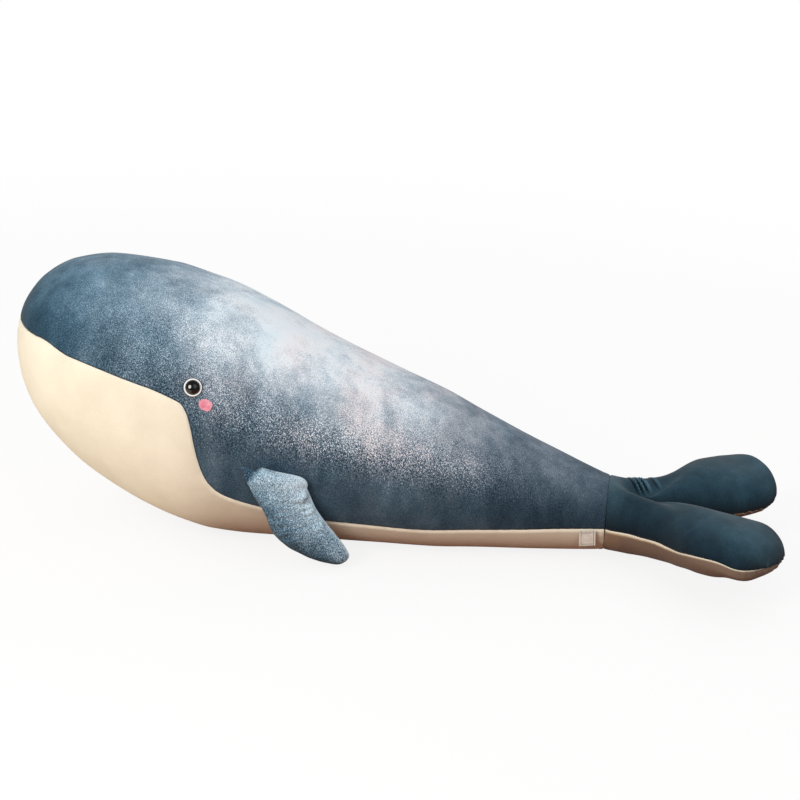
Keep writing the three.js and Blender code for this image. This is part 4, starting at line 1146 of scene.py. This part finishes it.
fin_normals = grid_normals(fin_local[:, :-1], 1, wrap=True)
fin_normals = np.concatenate([fin_normals, fin_normals[:, :1]], axis=1)
fin_seam = np.concatenate([fin_local[::-1, 0], fin_local[1:, FIN_COLUMNS]])
fin_distance, fin_run = nearest(fin_local, denser(fin_seam))
below_roll = smooth(fin_local[..., 1], *mm(-2, 12))
fin_sunk = valley(fin_distance, *FIN_VALLEY) * below_roll
fin_sunk += gathers(fin_distance, fin_run, *mm(0.35, 8, 10)) * below_roll
fin_sunk += fin_creases(fin_local) * below_roll * smooth(fin_distance, 0, CREASE_MARGIN)
for x, y, length, height, depth in TUCKS:
    far = ((fin_local[..., 0] - x * MM) / (length * MM)) ** 2
    far += ((fin_local[..., 1] - y * MM) / (height * MM)) ** 2
    fin_sunk += depth * MM * np.exp(-far)
fin_sunk += FIN_LUMPS[0] * uneven(fin_local, FIN_LUMPS[1], 5) * below_roll
fin_local = fin_local - fin_normals * fin_sunk[..., None]
fin_middle, *fin_axes = hanging_frame(joints["fin_left_flap"], FIN_LEAN)
fin_world = fin_middle
for k, axis in enumerate(fin_axes):
    fin_world = fin_world + fin_local[..., k : k + 1] * axis

# The fin is paler at its root and its back edge, and has a painted highlight along its back edge's
# seam; painted shade darkens its front corner, and it is darker along its front
back_share = np.cos(np.pi * crowded(FIN_COLUMNS))
back_share = np.concatenate([back_share, back_share[-2::-1]])  # 1 at the back edge, -1 in front
fin_down = fin_local[..., 1]
# A painted highlight along the back edge's seam
fin_edge_highlight = hump(fin_distance, SEAM_LIGHT_REACH) * (back_share > 0)
fin_pale = FIN_PALENESS - DOWN_DARKER * smooth(fin_down, *mm(5, 70)) + BACK_PALER * back_share
fin_pale += MOTTLE * uneven(fin_local, 20 * MM, 9) + EDGE_HIGHLIGHT * fin_edge_highlight
# Painted shade in the flat front corner
fin_pale -= CORNER_SHADE * (1 - smooth(from_corner, *mm(-1, 3)))
fin_pale -= FRONT_DARKER * smooth(-back_share, 0.2, 0.95) * smooth(fin_down, *mm(10, 40))
even = 0 * fin_pale
fin_values = {"paleness": fin_pale, "grain": FIN_GRAIN + even, "teal": FIN_TEAL + even}

for side, word in SIDES:
    part = f"fin_{word}"
    for first, layer in ((0, "outer"), (FIN_COLUMNS, "inner")):
        columns = slice(first, first + FIN_COLUMNS + 1)
        grid = mirrored(fin_world[:, columns], side)
        values = {key: value[:, columns] for key, value in fin_values.items()}
        name, outward = f"{part}_{layer}_plush", grid_normals(grid, -side)
        made = plush_panel(
            name, "blue_plush", solids(part, layer), grid, outward, -side, values, FIN_PLUSH
        )
        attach(made, part)

# %% [markdown]
# ## The face
# Each eye is a domed safety eye on a ring of white felt, whose cut edge is darkened with painted
# shade. The cheeks are satin stitch: one thread after another, each laid across the patch. The
# threads are instances on a line of points, scaled to the width of an oval at their place.

# %% Turned pieces
TURN_STEPS = 72


def place_matrix(spot, side, turn=0.0):
    """The way from a piece's own axes to its place on the body: X to the rear, Z outward."""
    place, out, rear = side_place(*spot)
    rear = Matrix.Rotation(turn, 3, out) @ rear
    axes = Matrix((rear, out.cross(rear), out)).transposed().to_4x4()
    return Matrix.Diagonal((1, -side, 1, 1)) @ (Matrix.Translation(place) @ axes)


def finished(mesh, name, matrix, side, slot, body, replaced):
    """Puts a mesh in its place, hides the solid it replaces and attaches it to its body."""
    mesh.name = name
    mesh.transform(matrix)
    if side > 0:
        mesh.flip_normals()
    store(mesh, "rest_place", [vertex.co for vertex in mesh.vertices])
    made = in_scene(name, mesh)
    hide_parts(replaced)
    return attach(made, body)


def turned(profile, material, values=None):
    """A mesh turned round Z from a profile of radii and heights. A radius of 0 is a pole."""
    points, rings, kept = [], [], []
    for row, (radius, height) in enumerate(profile):
        count = TURN_STEPS if radius else 1
        rings.append([len(points) + i % count for i in range(TURN_STEPS + 1)])
        turns = [2 * math.pi * i / TURN_STEPS for i in range(count)]
        points += [(radius * math.cos(turn), radius * math.sin(turn), height) for turn in turns]
        kept += [values[row] if values else 0] * count
    faces = [apart(face, range(len(points))) for face in faces_of(np.array(rings)).tolist()]
    mesh = new_mesh("turned", points, faces, material)
    if values:
        store(mesh, "edge", kept)
    return mesh


def arc(centre, radius_x, radius_y, start, end, steps):
    """Places on a part of an oval, in degrees from its right."""
    turns = np.radians(np.linspace(start, end, steps))
    return [(centre[0] + radius_x * math.cos(t), centre[1] + radius_y * math.sin(t)) for t in turns]


# %% Materials of the eyes
def eye_plastic():
    """Glossy black plastic with a soft flow of the mould."""
    material, tree = start_material("black safety eye")
    place = rest_place(tree)
    flow, scuffs = lumps(place, 4 * MM, 2), lumps(place, 0.5 * MM, 3)
    inputs = {
        "Base Color": ramp(flow, [(0.3, "#050506"), (0.7, "#0e0f12")]),
        "Roughness": maths("MULTIPLY_ADD", scuffs, 0.06, 0.02),
        "Normal": bump(flow, 0.1, 0.05 * MM),
        "Coat Weight": 1,
        "Coat Roughness": 0.02,
    }
    return finish_material(material, inputs)


def felt_material():
    """White felt, matted from short fibres, with painted shade round its edge."""
    material, tree = start_material("white wool felt")
    place = rest_place(tree)
    fibres = lumps(place, 0.9 * MM, 4)
    matted = lumps(place, 0.35 * MM, 2, {"Rotation": (0, 0.6, 0), "Scale": (1, 1, 0.25)})
    white = ramp(fibres, [(0.3, "#ececea"), (0.65, "#ffffff")])
    # Painted shade for the felt's outer edge
    dark = ramp(matted, [(0.3, "#1b2731"), (0.7, "#3a4a56")])
    inputs = {
        "Base Color": mix(stored(tree, "edge"), white, dark),
        "Normal": bump(maths("ADD", fibres, matted), 0.7, 0.25 * MM),
        "Roughness": 0.95,
        "Sheen Weight": 0.3,
    }
    return finish_material(material, inputs)


def washer_material():
    """Translucent white moulding, faintly clouded."""
    material, tree = start_material("white washer plastic")
    cloud = lumps(node("ShaderNodeTexCoord", {}, tree).outputs["Object"], 3 * MM, 3)
    inputs = {
        "Base Color": ramp(cloud, [(0.3, "#d2d2cf"), (0.7, "#e8e8e6")]),
        "Roughness": maths("MULTIPLY_ADD", cloud, 0.15, 0.3),
    }
    return finish_material(material, inputs)


# %% Eyes
EYE_RADIUS, EYE_RISE = mm(9.4, 5.5)
FELT_RADIUS, FELT_THICKNESS = mm(11.5, 1.6)
STEM_RADIUS, STEM_LENGTH = mm(2.5, 13)

# Profiles of radii and heights: from the stem's end round to the dome's top, and round the ring
hole = STEM_RADIUS + 0.1 * MM
stem_end, seat = FELT_THICKNESS - STEM_LENGTH, FELT_THICKNESS + 0.1 * MM
rim = EYE_RADIUS - 0.5 * MM
eye_profile = [(0, stem_end), (STEM_RADIUS, stem_end), (STEM_RADIUS, seat), (rim, seat)]
edge_place = (rim, FELT_THICKNESS + 0.7 * MM)
eye_profile += arc(edge_place, *mm(0.5, 0.6), -90, 60, 8)
dome_place = (0, FELT_THICKNESS + 1.2 * MM)
eye_profile += arc(dome_place, EYE_RADIUS - 0.6 * MM, EYE_RISE - 1.2 * MM, 4, 86, 24)
eye_profile += [(0, FELT_THICKNESS + EYE_RISE)]
felt_profile = [(hole, -0.6 * MM), (FELT_RADIUS + 0.2 * MM, -0.6 * MM)]
felt_profile += arc((FELT_RADIUS + 0.3 * MM, 0.3 * MM), *mm(0.6, 0.6), -60, 130, 10)
felt_profile += arc((FELT_RADIUS - 0.6 * MM, 0.8 * MM), *mm(0.6, 0.8), 10, 90, 8)
felt_profile += [(FELT_RADIUS - 1.1 * MM, FELT_THICKNESS), (EYE_RADIUS, FELT_THICKNESS - 0.05 * MM)]
felt_profile += [(hole, FELT_THICKNESS - 0.1 * MM), (hole, -0.6 * MM)]
# Painted shade on the felt's outermost edge
felt_edge_shade = [float(radius > FELT_RADIUS - 0.2 * MM) for radius, _ in felt_profile]
black, felt, washer_plastic = eye_plastic(), felt_material(), washer_material()
for side, word in SIDES:
    spot = (place_matrix(EYE_PLACE, side), side)
    dome, ring = turned(eye_profile, black), turned(felt_profile, felt, felt_edge_shade)
    finished(dome, f"eye_{word}_dome", *spot, "eye_plastic", "body", f"eye_{word}")
    finished(ring, f"eye_{word}_felt", *spot, "white_felt", "body", f"eye_ring_{word}")
    washer = frame["nodes"][f"eye_washer_{word}"]
    washer.data.materials.clear()
    washer.data.materials.append(washer_plastic)

# %% Cheeks
CHEEK_TURN = math.radians(20)
STITCHES = {
    "Length": 18 * MM,
    "Width": 15 * MM,
    "Spacing": 0.75 * MM,
    "Thread radius": 0.46 * MM,
    "Rise": 0.85 * MM,
}
SHORTEST_STITCH = 2 * MM
UNEVENNESS = (0.88, 1.06)  # a stitch's length as a share of the oval's width


def pink_thread():
    """Shiny rayon thread, a little uneven in its dye."""
    material, tree = start_material("pink embroidery thread")
    place = rest_place(tree)
    strand = lumps(place, 0.6 * MM, 2)
    parts = [maths("MULTIPLY", part, 0.5) for part in (strand, lumps(place, 6 * MM, 1))]
    tone = maths("ADD", *parts)
    inputs = {
        "Base Color": ramp(tone, [(0.3, "#d9708a"), (0.5, "#f099ad"), (0.7, "#fbc8d2")]),
        "Normal": bump(strand, 0.4, 0.1 * MM),
        "Roughness": 0.45,
        "Sheen Weight": 0.25,
    }
    return finish_material(material, inputs)


def satin_stitch(material):
    """Geometry Nodes that lay threads across an oval: X along the patch, threads along Y."""
    tree = bpy.data.node_groups.new("satin stitch", "GeometryNodeTree")
    for name in ("Geometry", *STITCHES):
        kind = "NodeSocketGeometry" if name == "Geometry" else "NodeSocketFloat"
        tree.interface.new_socket(name, in_out="INPUT", socket_type=kind)
    tree.interface.new_socket("Geometry", in_out="OUTPUT", socket_type="NodeSocketGeometry")
    given = tree.nodes.new("NodeGroupInput").outputs

    def vector(**parts):
        """A vector from its parts."""
        return node("ShaderNodeCombineXYZ", parts).outputs[0]

    def geometry(kind, **inputs):
        """The first output of a new geometry node."""
        named = {name.replace("_", " "): value for name, value in inputs.items()}
        return node(f"GeometryNode{kind}", named, tree).outputs[0]

    half = maths("MULTIPLY", given["Length"], 0.5)
    count = maths("DIVIDE", given["Length"], given["Spacing"])
    start, step = vector(X=maths("MULTIPLY", half, -1)), vector(X=given["Spacing"])
    line = geometry("MeshLine", Count=count, Start_Location=start, Offset=step)
    points = geometry("MeshToPoints", Mesh=line)
    top = vector(Z=maths("MULTIPLY", given["Rise"], 2))
    ends = {"Start": (0, -0.5, 0), "End": (0, 0.5, 0)}
    path = geometry("CurveQuadraticBezier", Resolution=12, Middle=top, **ends)
    outline = geometry("CurvePrimitiveCircle", Resolution=7, Radius=given["Thread radius"])
    thread = geometry("CurveToMesh", Curve=path, Profile_Curve=outline, Fill_Caps=True)
    place = geometry("InputPosition")
    x = node("ShaderNodeSeparateXYZ", {"Vector": place}).outputs["X"]
    share = maths("DIVIDE", x, half)
    inside = maths("SUBTRACT", 1, maths("MULTIPLY", share, share), clamp=True)
    chord = maths("MULTIPLY", maths("SQRT", inside), given["Width"])
    jitter = node("FunctionNodeRandomValue", {"Seed": 4}, tree, data_type="FLOAT")
    jitter.inputs[2].default_value, jitter.inputs[3].default_value = UNEVENNESS
    chord = maths("MULTIPLY", chord, jitter.outputs[1])
    scale = vector(X=1, Y=maths("MAXIMUM", chord, SHORTEST_STITCH), Z=1)
    laid = geometry("InstanceOnPoints", Points=points, Instance=thread, Scale=scale)
    real = geometry("RealizeInstances", Geometry=laid)
    real = geometry("SetMaterial", Geometry=real, Material=material)
    tree.links.new(real, tree.nodes.new("NodeGroupOutput").inputs[0])
    return tree


def grown(tree, sizes, name):
    """The mesh that a node group makes, with its named inputs set."""
    seed_object = in_scene(name, bpy.data.meshes.new(name))
    modifier = seed_object.modifiers.new(name, "NODES")
    modifier.node_group = tree
    for item in tree.interface.items_tree:
        if item.name in sizes:
            modifier[item.identifier] = sizes[item.name]
    evaluated = seed_object.evaluated_get(bpy.context.evaluated_depsgraph_get())
    mesh = bpy.data.meshes.new_from_object(evaluated)
    bpy.data.objects.remove(seed_object)
    mesh.shade_smooth()
    return mesh


satin = satin_stitch(pink_thread())
for side, word in SIDES:
    spot = (place_matrix(CHEEK_PLACE, side, -CHEEK_TURN), side)
    patch, name = grown(satin, STITCHES, "satin stitch"), f"cheek_{word}_stitches"
    made = finished(patch, name, *spot, "pink_embroidery", "body", f"cheek_{word}")
    print(name, len(made.data.polygons))

# %% [markdown]
# ## The care label
# A folded ribbon hangs from the colour seam just before the tail. It is woven plain, with a thin
# border, and it is blank.

# %% Care label
LABEL_WIDTH, LABEL_DROP = mm(21, 20)
RIBBON, LOOP = mm(0.5, 0.8)  # the ribbon's thickness and the gap in its fold
LABEL_LEAN = math.radians(6)
WEAVE = 0.55 * MM
BORDER = 0.35 * MM  # half the width of its lines
BORDER_STRENGTH = 0.75
SIDE_INSET, END_INSET, LINE_INSET = mm(2.4, 2.6, 2)  # of the lines, and of the end lines' ends
LEAF_STEPS, BEND_STEPS, WIDTH_STEPS = 15, 11, 23
WAVE = mm(0.35, 4.6)  # of the free end: its height and its length


def ribbon_material():
    """White woven ribbon: two crossing threads, with a grey border."""
    material, tree = start_material("white woven ribbon")
    across, down = stored(tree, "across"), stored(tree, "down")
    turns = [maths("MULTIPLY", way, 2 * math.pi / WEAVE) for way in (across, down)]
    crossed = maths("MULTIPLY", *(maths("SINE", turn) for turn in turns))
    weave = maths("MULTIPLY_ADD", crossed, 0.5, 0.5)
    worn = lumps(rest_place(tree), 5 * MM, 3)
    tone = maths("MULTIPLY_ADD", worn, 0.7, maths("MULTIPLY", weave, 0.3))
    white = ramp(tone, [(0.3, "#cfc3b4"), (0.7, "#efe9e0")])
    side = maths("ABSOLUTE", across)
    rows = [(side, LABEL_WIDTH / 2 - SIDE_INSET), (down, END_INSET), (down, LABEL_DROP - END_INSET)]
    line = 0
    for value, level in rows:
        far = maths("ABSOLUTE", maths("SUBTRACT", value, level))
        line = maths("MAXIMUM", line, maths("LESS_THAN", far, BORDER))
    inner = maths("LESS_THAN", side, LABEL_WIDTH / 2 - LINE_INSET)
    line = maths("MULTIPLY", maths("MULTIPLY", line, inner), BORDER_STRENGTH)
    inputs = {
        "Base Color": mix(line, white, "#4f4a46"),
        "Normal": bump(weave, 0.5, 0.15 * MM),
        "Roughness": 0.6,
        "Sheen Weight": 0.15,
    }
    return finish_material(material, inputs)


def leaves(half_gap, straight):
    """One side of the folded ribbon: down a leaf, round the fold and up the other leaf."""
    downs = np.linspace(0, straight, LEAF_STEPS)
    bends = np.linspace(0, np.pi, BEND_STEPS)[1:-1]
    fold = [(straight + half_gap * math.sin(t), -half_gap * math.cos(t)) for t in bends]
    return [(d, -half_gap) for d in downs] + fold + [(d, half_gap) for d in downs[::-1]]


def folded_ribbon():
    """The ribbon's section run along its width, with its two side edges closed."""
    outer = RIBBON + LOOP / 2
    straight = LABEL_DROP - outer
    line = np.array(leaves(outer, straight) + leaves(LOOP / 2, straight)[::-1])
    across = np.linspace(-LABEL_WIDTH / 2, LABEL_WIDTH / 2, WIDTH_STEPS)
    top, along, down, inward = hanging_frame(joints["label_flap"], LABEL_LEAN)
    wave = WAVE[0] * np.sin(across / WAVE[1])[:, None] * (line[:, 0] / LABEL_DROP) ** 2
    grid = top + across[:, None, None] * along + line[:, :1] * down
    grid = grid + (line[:, 1] + wave)[..., None] * inward
    count, steps = len(line), len(across)
    index = np.arange(count * steps).reshape(steps, count)
    index = np.concatenate([index, index[:, :1]], axis=1)
    faces = faces_of(index, True).tolist()
    for row, turn in ((index[0], 1), (index[-1], -1)):
        back = row[count - 1 :: -1]
        sides = [[row[k], row[k + 1], back[k + 1], back[k]] for k in range(count // 2 - 1)]
        faces += [[int(corner) for corner in face[::turn]] for face in sides]
    mesh = new_mesh("care_label_ribbon", grid.reshape(-1, 3), faces, ribbon_material(), False)
    store(mesh, "across", np.repeat(across, count))
    store(mesh, "down", np.tile(line[:, 0], steps))
    return mesh


label = (folded_ribbon(), "care_label_ribbon", Matrix.Identity(4), -1)
label = finished(*label, "white_ribbon", "label", "care_label")
print("label", len(label.data.polygons))

# %% [markdown]
# ## Camera, floor and light
# The camera looks from the whale's left and a little from above, as the photograph does, with a
# long lens. Its roll and its place off the centre come from a fit of the solids' outline.

# %% Camera
PICTURE = 800  # pixels, both ways
SENSOR = 36
AZIMUTH = math.radians(5.43)
ELEVATION = math.radians(19.75)
ROLL = math.radians(3.52)
DISTANCE = 3.942
PIXELS_PER_METRE = 772.45  # at the target
TARGET = Vector((0, 0, 118 * MM))
TARGET_PIXEL = (399.67, 447.93)

level = math.cos(ELEVATION)
back = Vector((math.sin(AZIMUTH) * level, -math.cos(AZIMUTH) * level, math.sin(ELEVATION)))
right = Vector((math.cos(AZIMUTH), math.sin(AZIMUTH), 0))
upward = back.cross(right)
off_x, off_y = TARGET_PIXEL[0] - PICTURE / 2, TARGET_PIXEL[1] - PICTURE / 2
across = (off_x * math.cos(ROLL) + off_y * math.sin(ROLL)) / PIXELS_PER_METRE
down = (-off_x * math.sin(ROLL) + off_y * math.cos(ROLL)) / PIXELS_PER_METRE
camera_data = bpy.data.cameras.new("camera")
camera_data.sensor_width = SENSOR
camera_data.lens = DISTANCE * PIXELS_PER_METRE / PICTURE * SENSOR
camera_data.clip_start = 0.1
camera = in_scene("camera", camera_data)
turned_right = right * math.cos(ROLL) + upward * math.sin(ROLL)
turned_up = upward * math.cos(ROLL) - right * math.sin(ROLL)
camera_matrix = Matrix((turned_right, turned_up, back)).transposed().to_4x4()
camera_matrix.translation = TARGET + back * DISTANCE - right * across + upward * down
camera.matrix_world = camera_matrix
bpy.context.scene.camera = camera
print("lens", round(camera_data.lens, 1))

# %% [markdown]
# The floor is pale to the eye and fades into the white round it, and keeps the toy's soft shadow.
# The light that it throws back up is pale before the head, as from a reflector laid there, and
# brown under the rest, so that the belly and the tail's underside turn brown where they face it.

# %% Floor
FLOOR_SIZE = 3
FLOOR_LEVEL = -0.2 * MM
FADE = (1.1, 1.9)
PALE_BOUNCE = "#dcd1c2"
BROWN_BOUNCE = "#965f40"
BOUNCE_CHANGE = (-0.36, -0.16)  # from pale to brown, along X
SHADOW_SHARE = 0.15  # how much of the floor's look to the eye is lit, the rest being plain white


def floor_material():
    """A pale floor that fades out, and throws brown light back up."""
    material, tree = start_material("pale floor")

    def eased(value, low, high):
        """0 below low, 1 above high, and an eased rise between."""
        inputs = {"Value": value, 1: low, 2: high}
        return node("ShaderNodeMapRange", inputs, interpolation_type="SMOOTHSTEP").outputs[0]

    def shader(kind, inputs):
        """The first output of a new shader node."""
        return node(f"ShaderNode{kind}", inputs, tree).outputs[0]

    place = node("ShaderNodeTexCoord", {}, tree).outputs["Object"]
    along = node("ShaderNodeSeparateXYZ", {"Vector": place}).outputs["X"]
    bounce = mix(eased(along, *BOUNCE_CHANGE), PALE_BOUNCE, BROWN_BOUNCE)
    finish_material(material, {"Base Color": bounce, "Roughness": 1, "Specular IOR Level": 0})
    radius = node("ShaderNodeVectorMath", {0: place}, operation="LENGTH").outputs["Value"]
    lit, white = (shader(kind, {"Color": "#ffffff"}) for kind in ("BsdfDiffuse", "Emission"))
    pale = shader("MixShader", {0: SHADOW_SHARE, 1: white, 2: lit})
    clear = shader("BsdfTransparent", {})
    faded = shader("MixShader", {0: eased(radius, *FADE), 1: pale, 2: clear})
    seen = node("ShaderNodeLightPath", {}, tree).outputs["Is Camera Ray"]
    thrown = tree.nodes["Principled BSDF"].outputs[0]
    both = shader("MixShader", {0: seen, 1: thrown, 2: faded})
    feed(tree.nodes["Material Output"], {"Surface": both})
    return material


edges = [(-1, -1), (1, -1), (1, 1), (-1, 1)]
floor_points = [(FLOOR_SIZE * x, FLOOR_SIZE * y, FLOOR_LEVEL) for x, y in edges]
floor = in_scene("floor", new_mesh("floor", floor_points, [(0, 1, 2, 3)], floor_material(), False))

# %% [markdown]
# The light is plain: a large soft lamp high on the left in front, a weak one from the right, one
# from behind for the crown, and an even white world.

# %% Light
# Name, place, target, size, power and colour
LAMPS = [
    ("key", (-1.25, -2.6, 1.6), (-0.15, 0, 0.15), 1.6, 55, "#fffaf4"),
    ("fill", (1.4, -2.4, 2.2), (0, 0, 0.1), 2.2, 7, "#f4f8ff"),
    ("rim", (0.6, 2.4, 2.2), (0, 0, 0.15), 1.8, 13, "#ffffff"),
]
AMBIENT = 0.57
MIRRORED = 0.12  # the world in reflections is dim, so that the eyes stay black

for name, place, target, size, energy, colour in LAMPS:
    data = bpy.data.lights.new(name, "AREA")
    data.shape = "DISK"
    data.size, data.energy, data.color = size, energy, hex_colour(colour)[:3]
    lamp = in_scene(name, data)
    lamp.location = place
    lamp.rotation_euler = (Vector(target) - Vector(place)).to_track_quat("-Z", "Y").to_euler()

world = bpy.data.worlds.new("studio")
world.use_nodes = True
bpy.context.scene.world = world
sky = world.node_tree
path = node("ShaderNodeLightPath", {}, sky).outputs
seen = maths("MAXIMUM", path["Is Camera Ray"], path["Is Transmission Ray"])
strength = maths("MULTIPLY_ADD", seen, 1 - AMBIENT, AMBIENT)
strength = maths("MULTIPLY_ADD", path["Is Glossy Ray"], MIRRORED - AMBIENT, strength)
feed(sky.nodes["Background"], {"Color": (1, 1, 1, 1), "Strength": strength})
bpy.context.scene.view_settings.view_transform = "Standard"
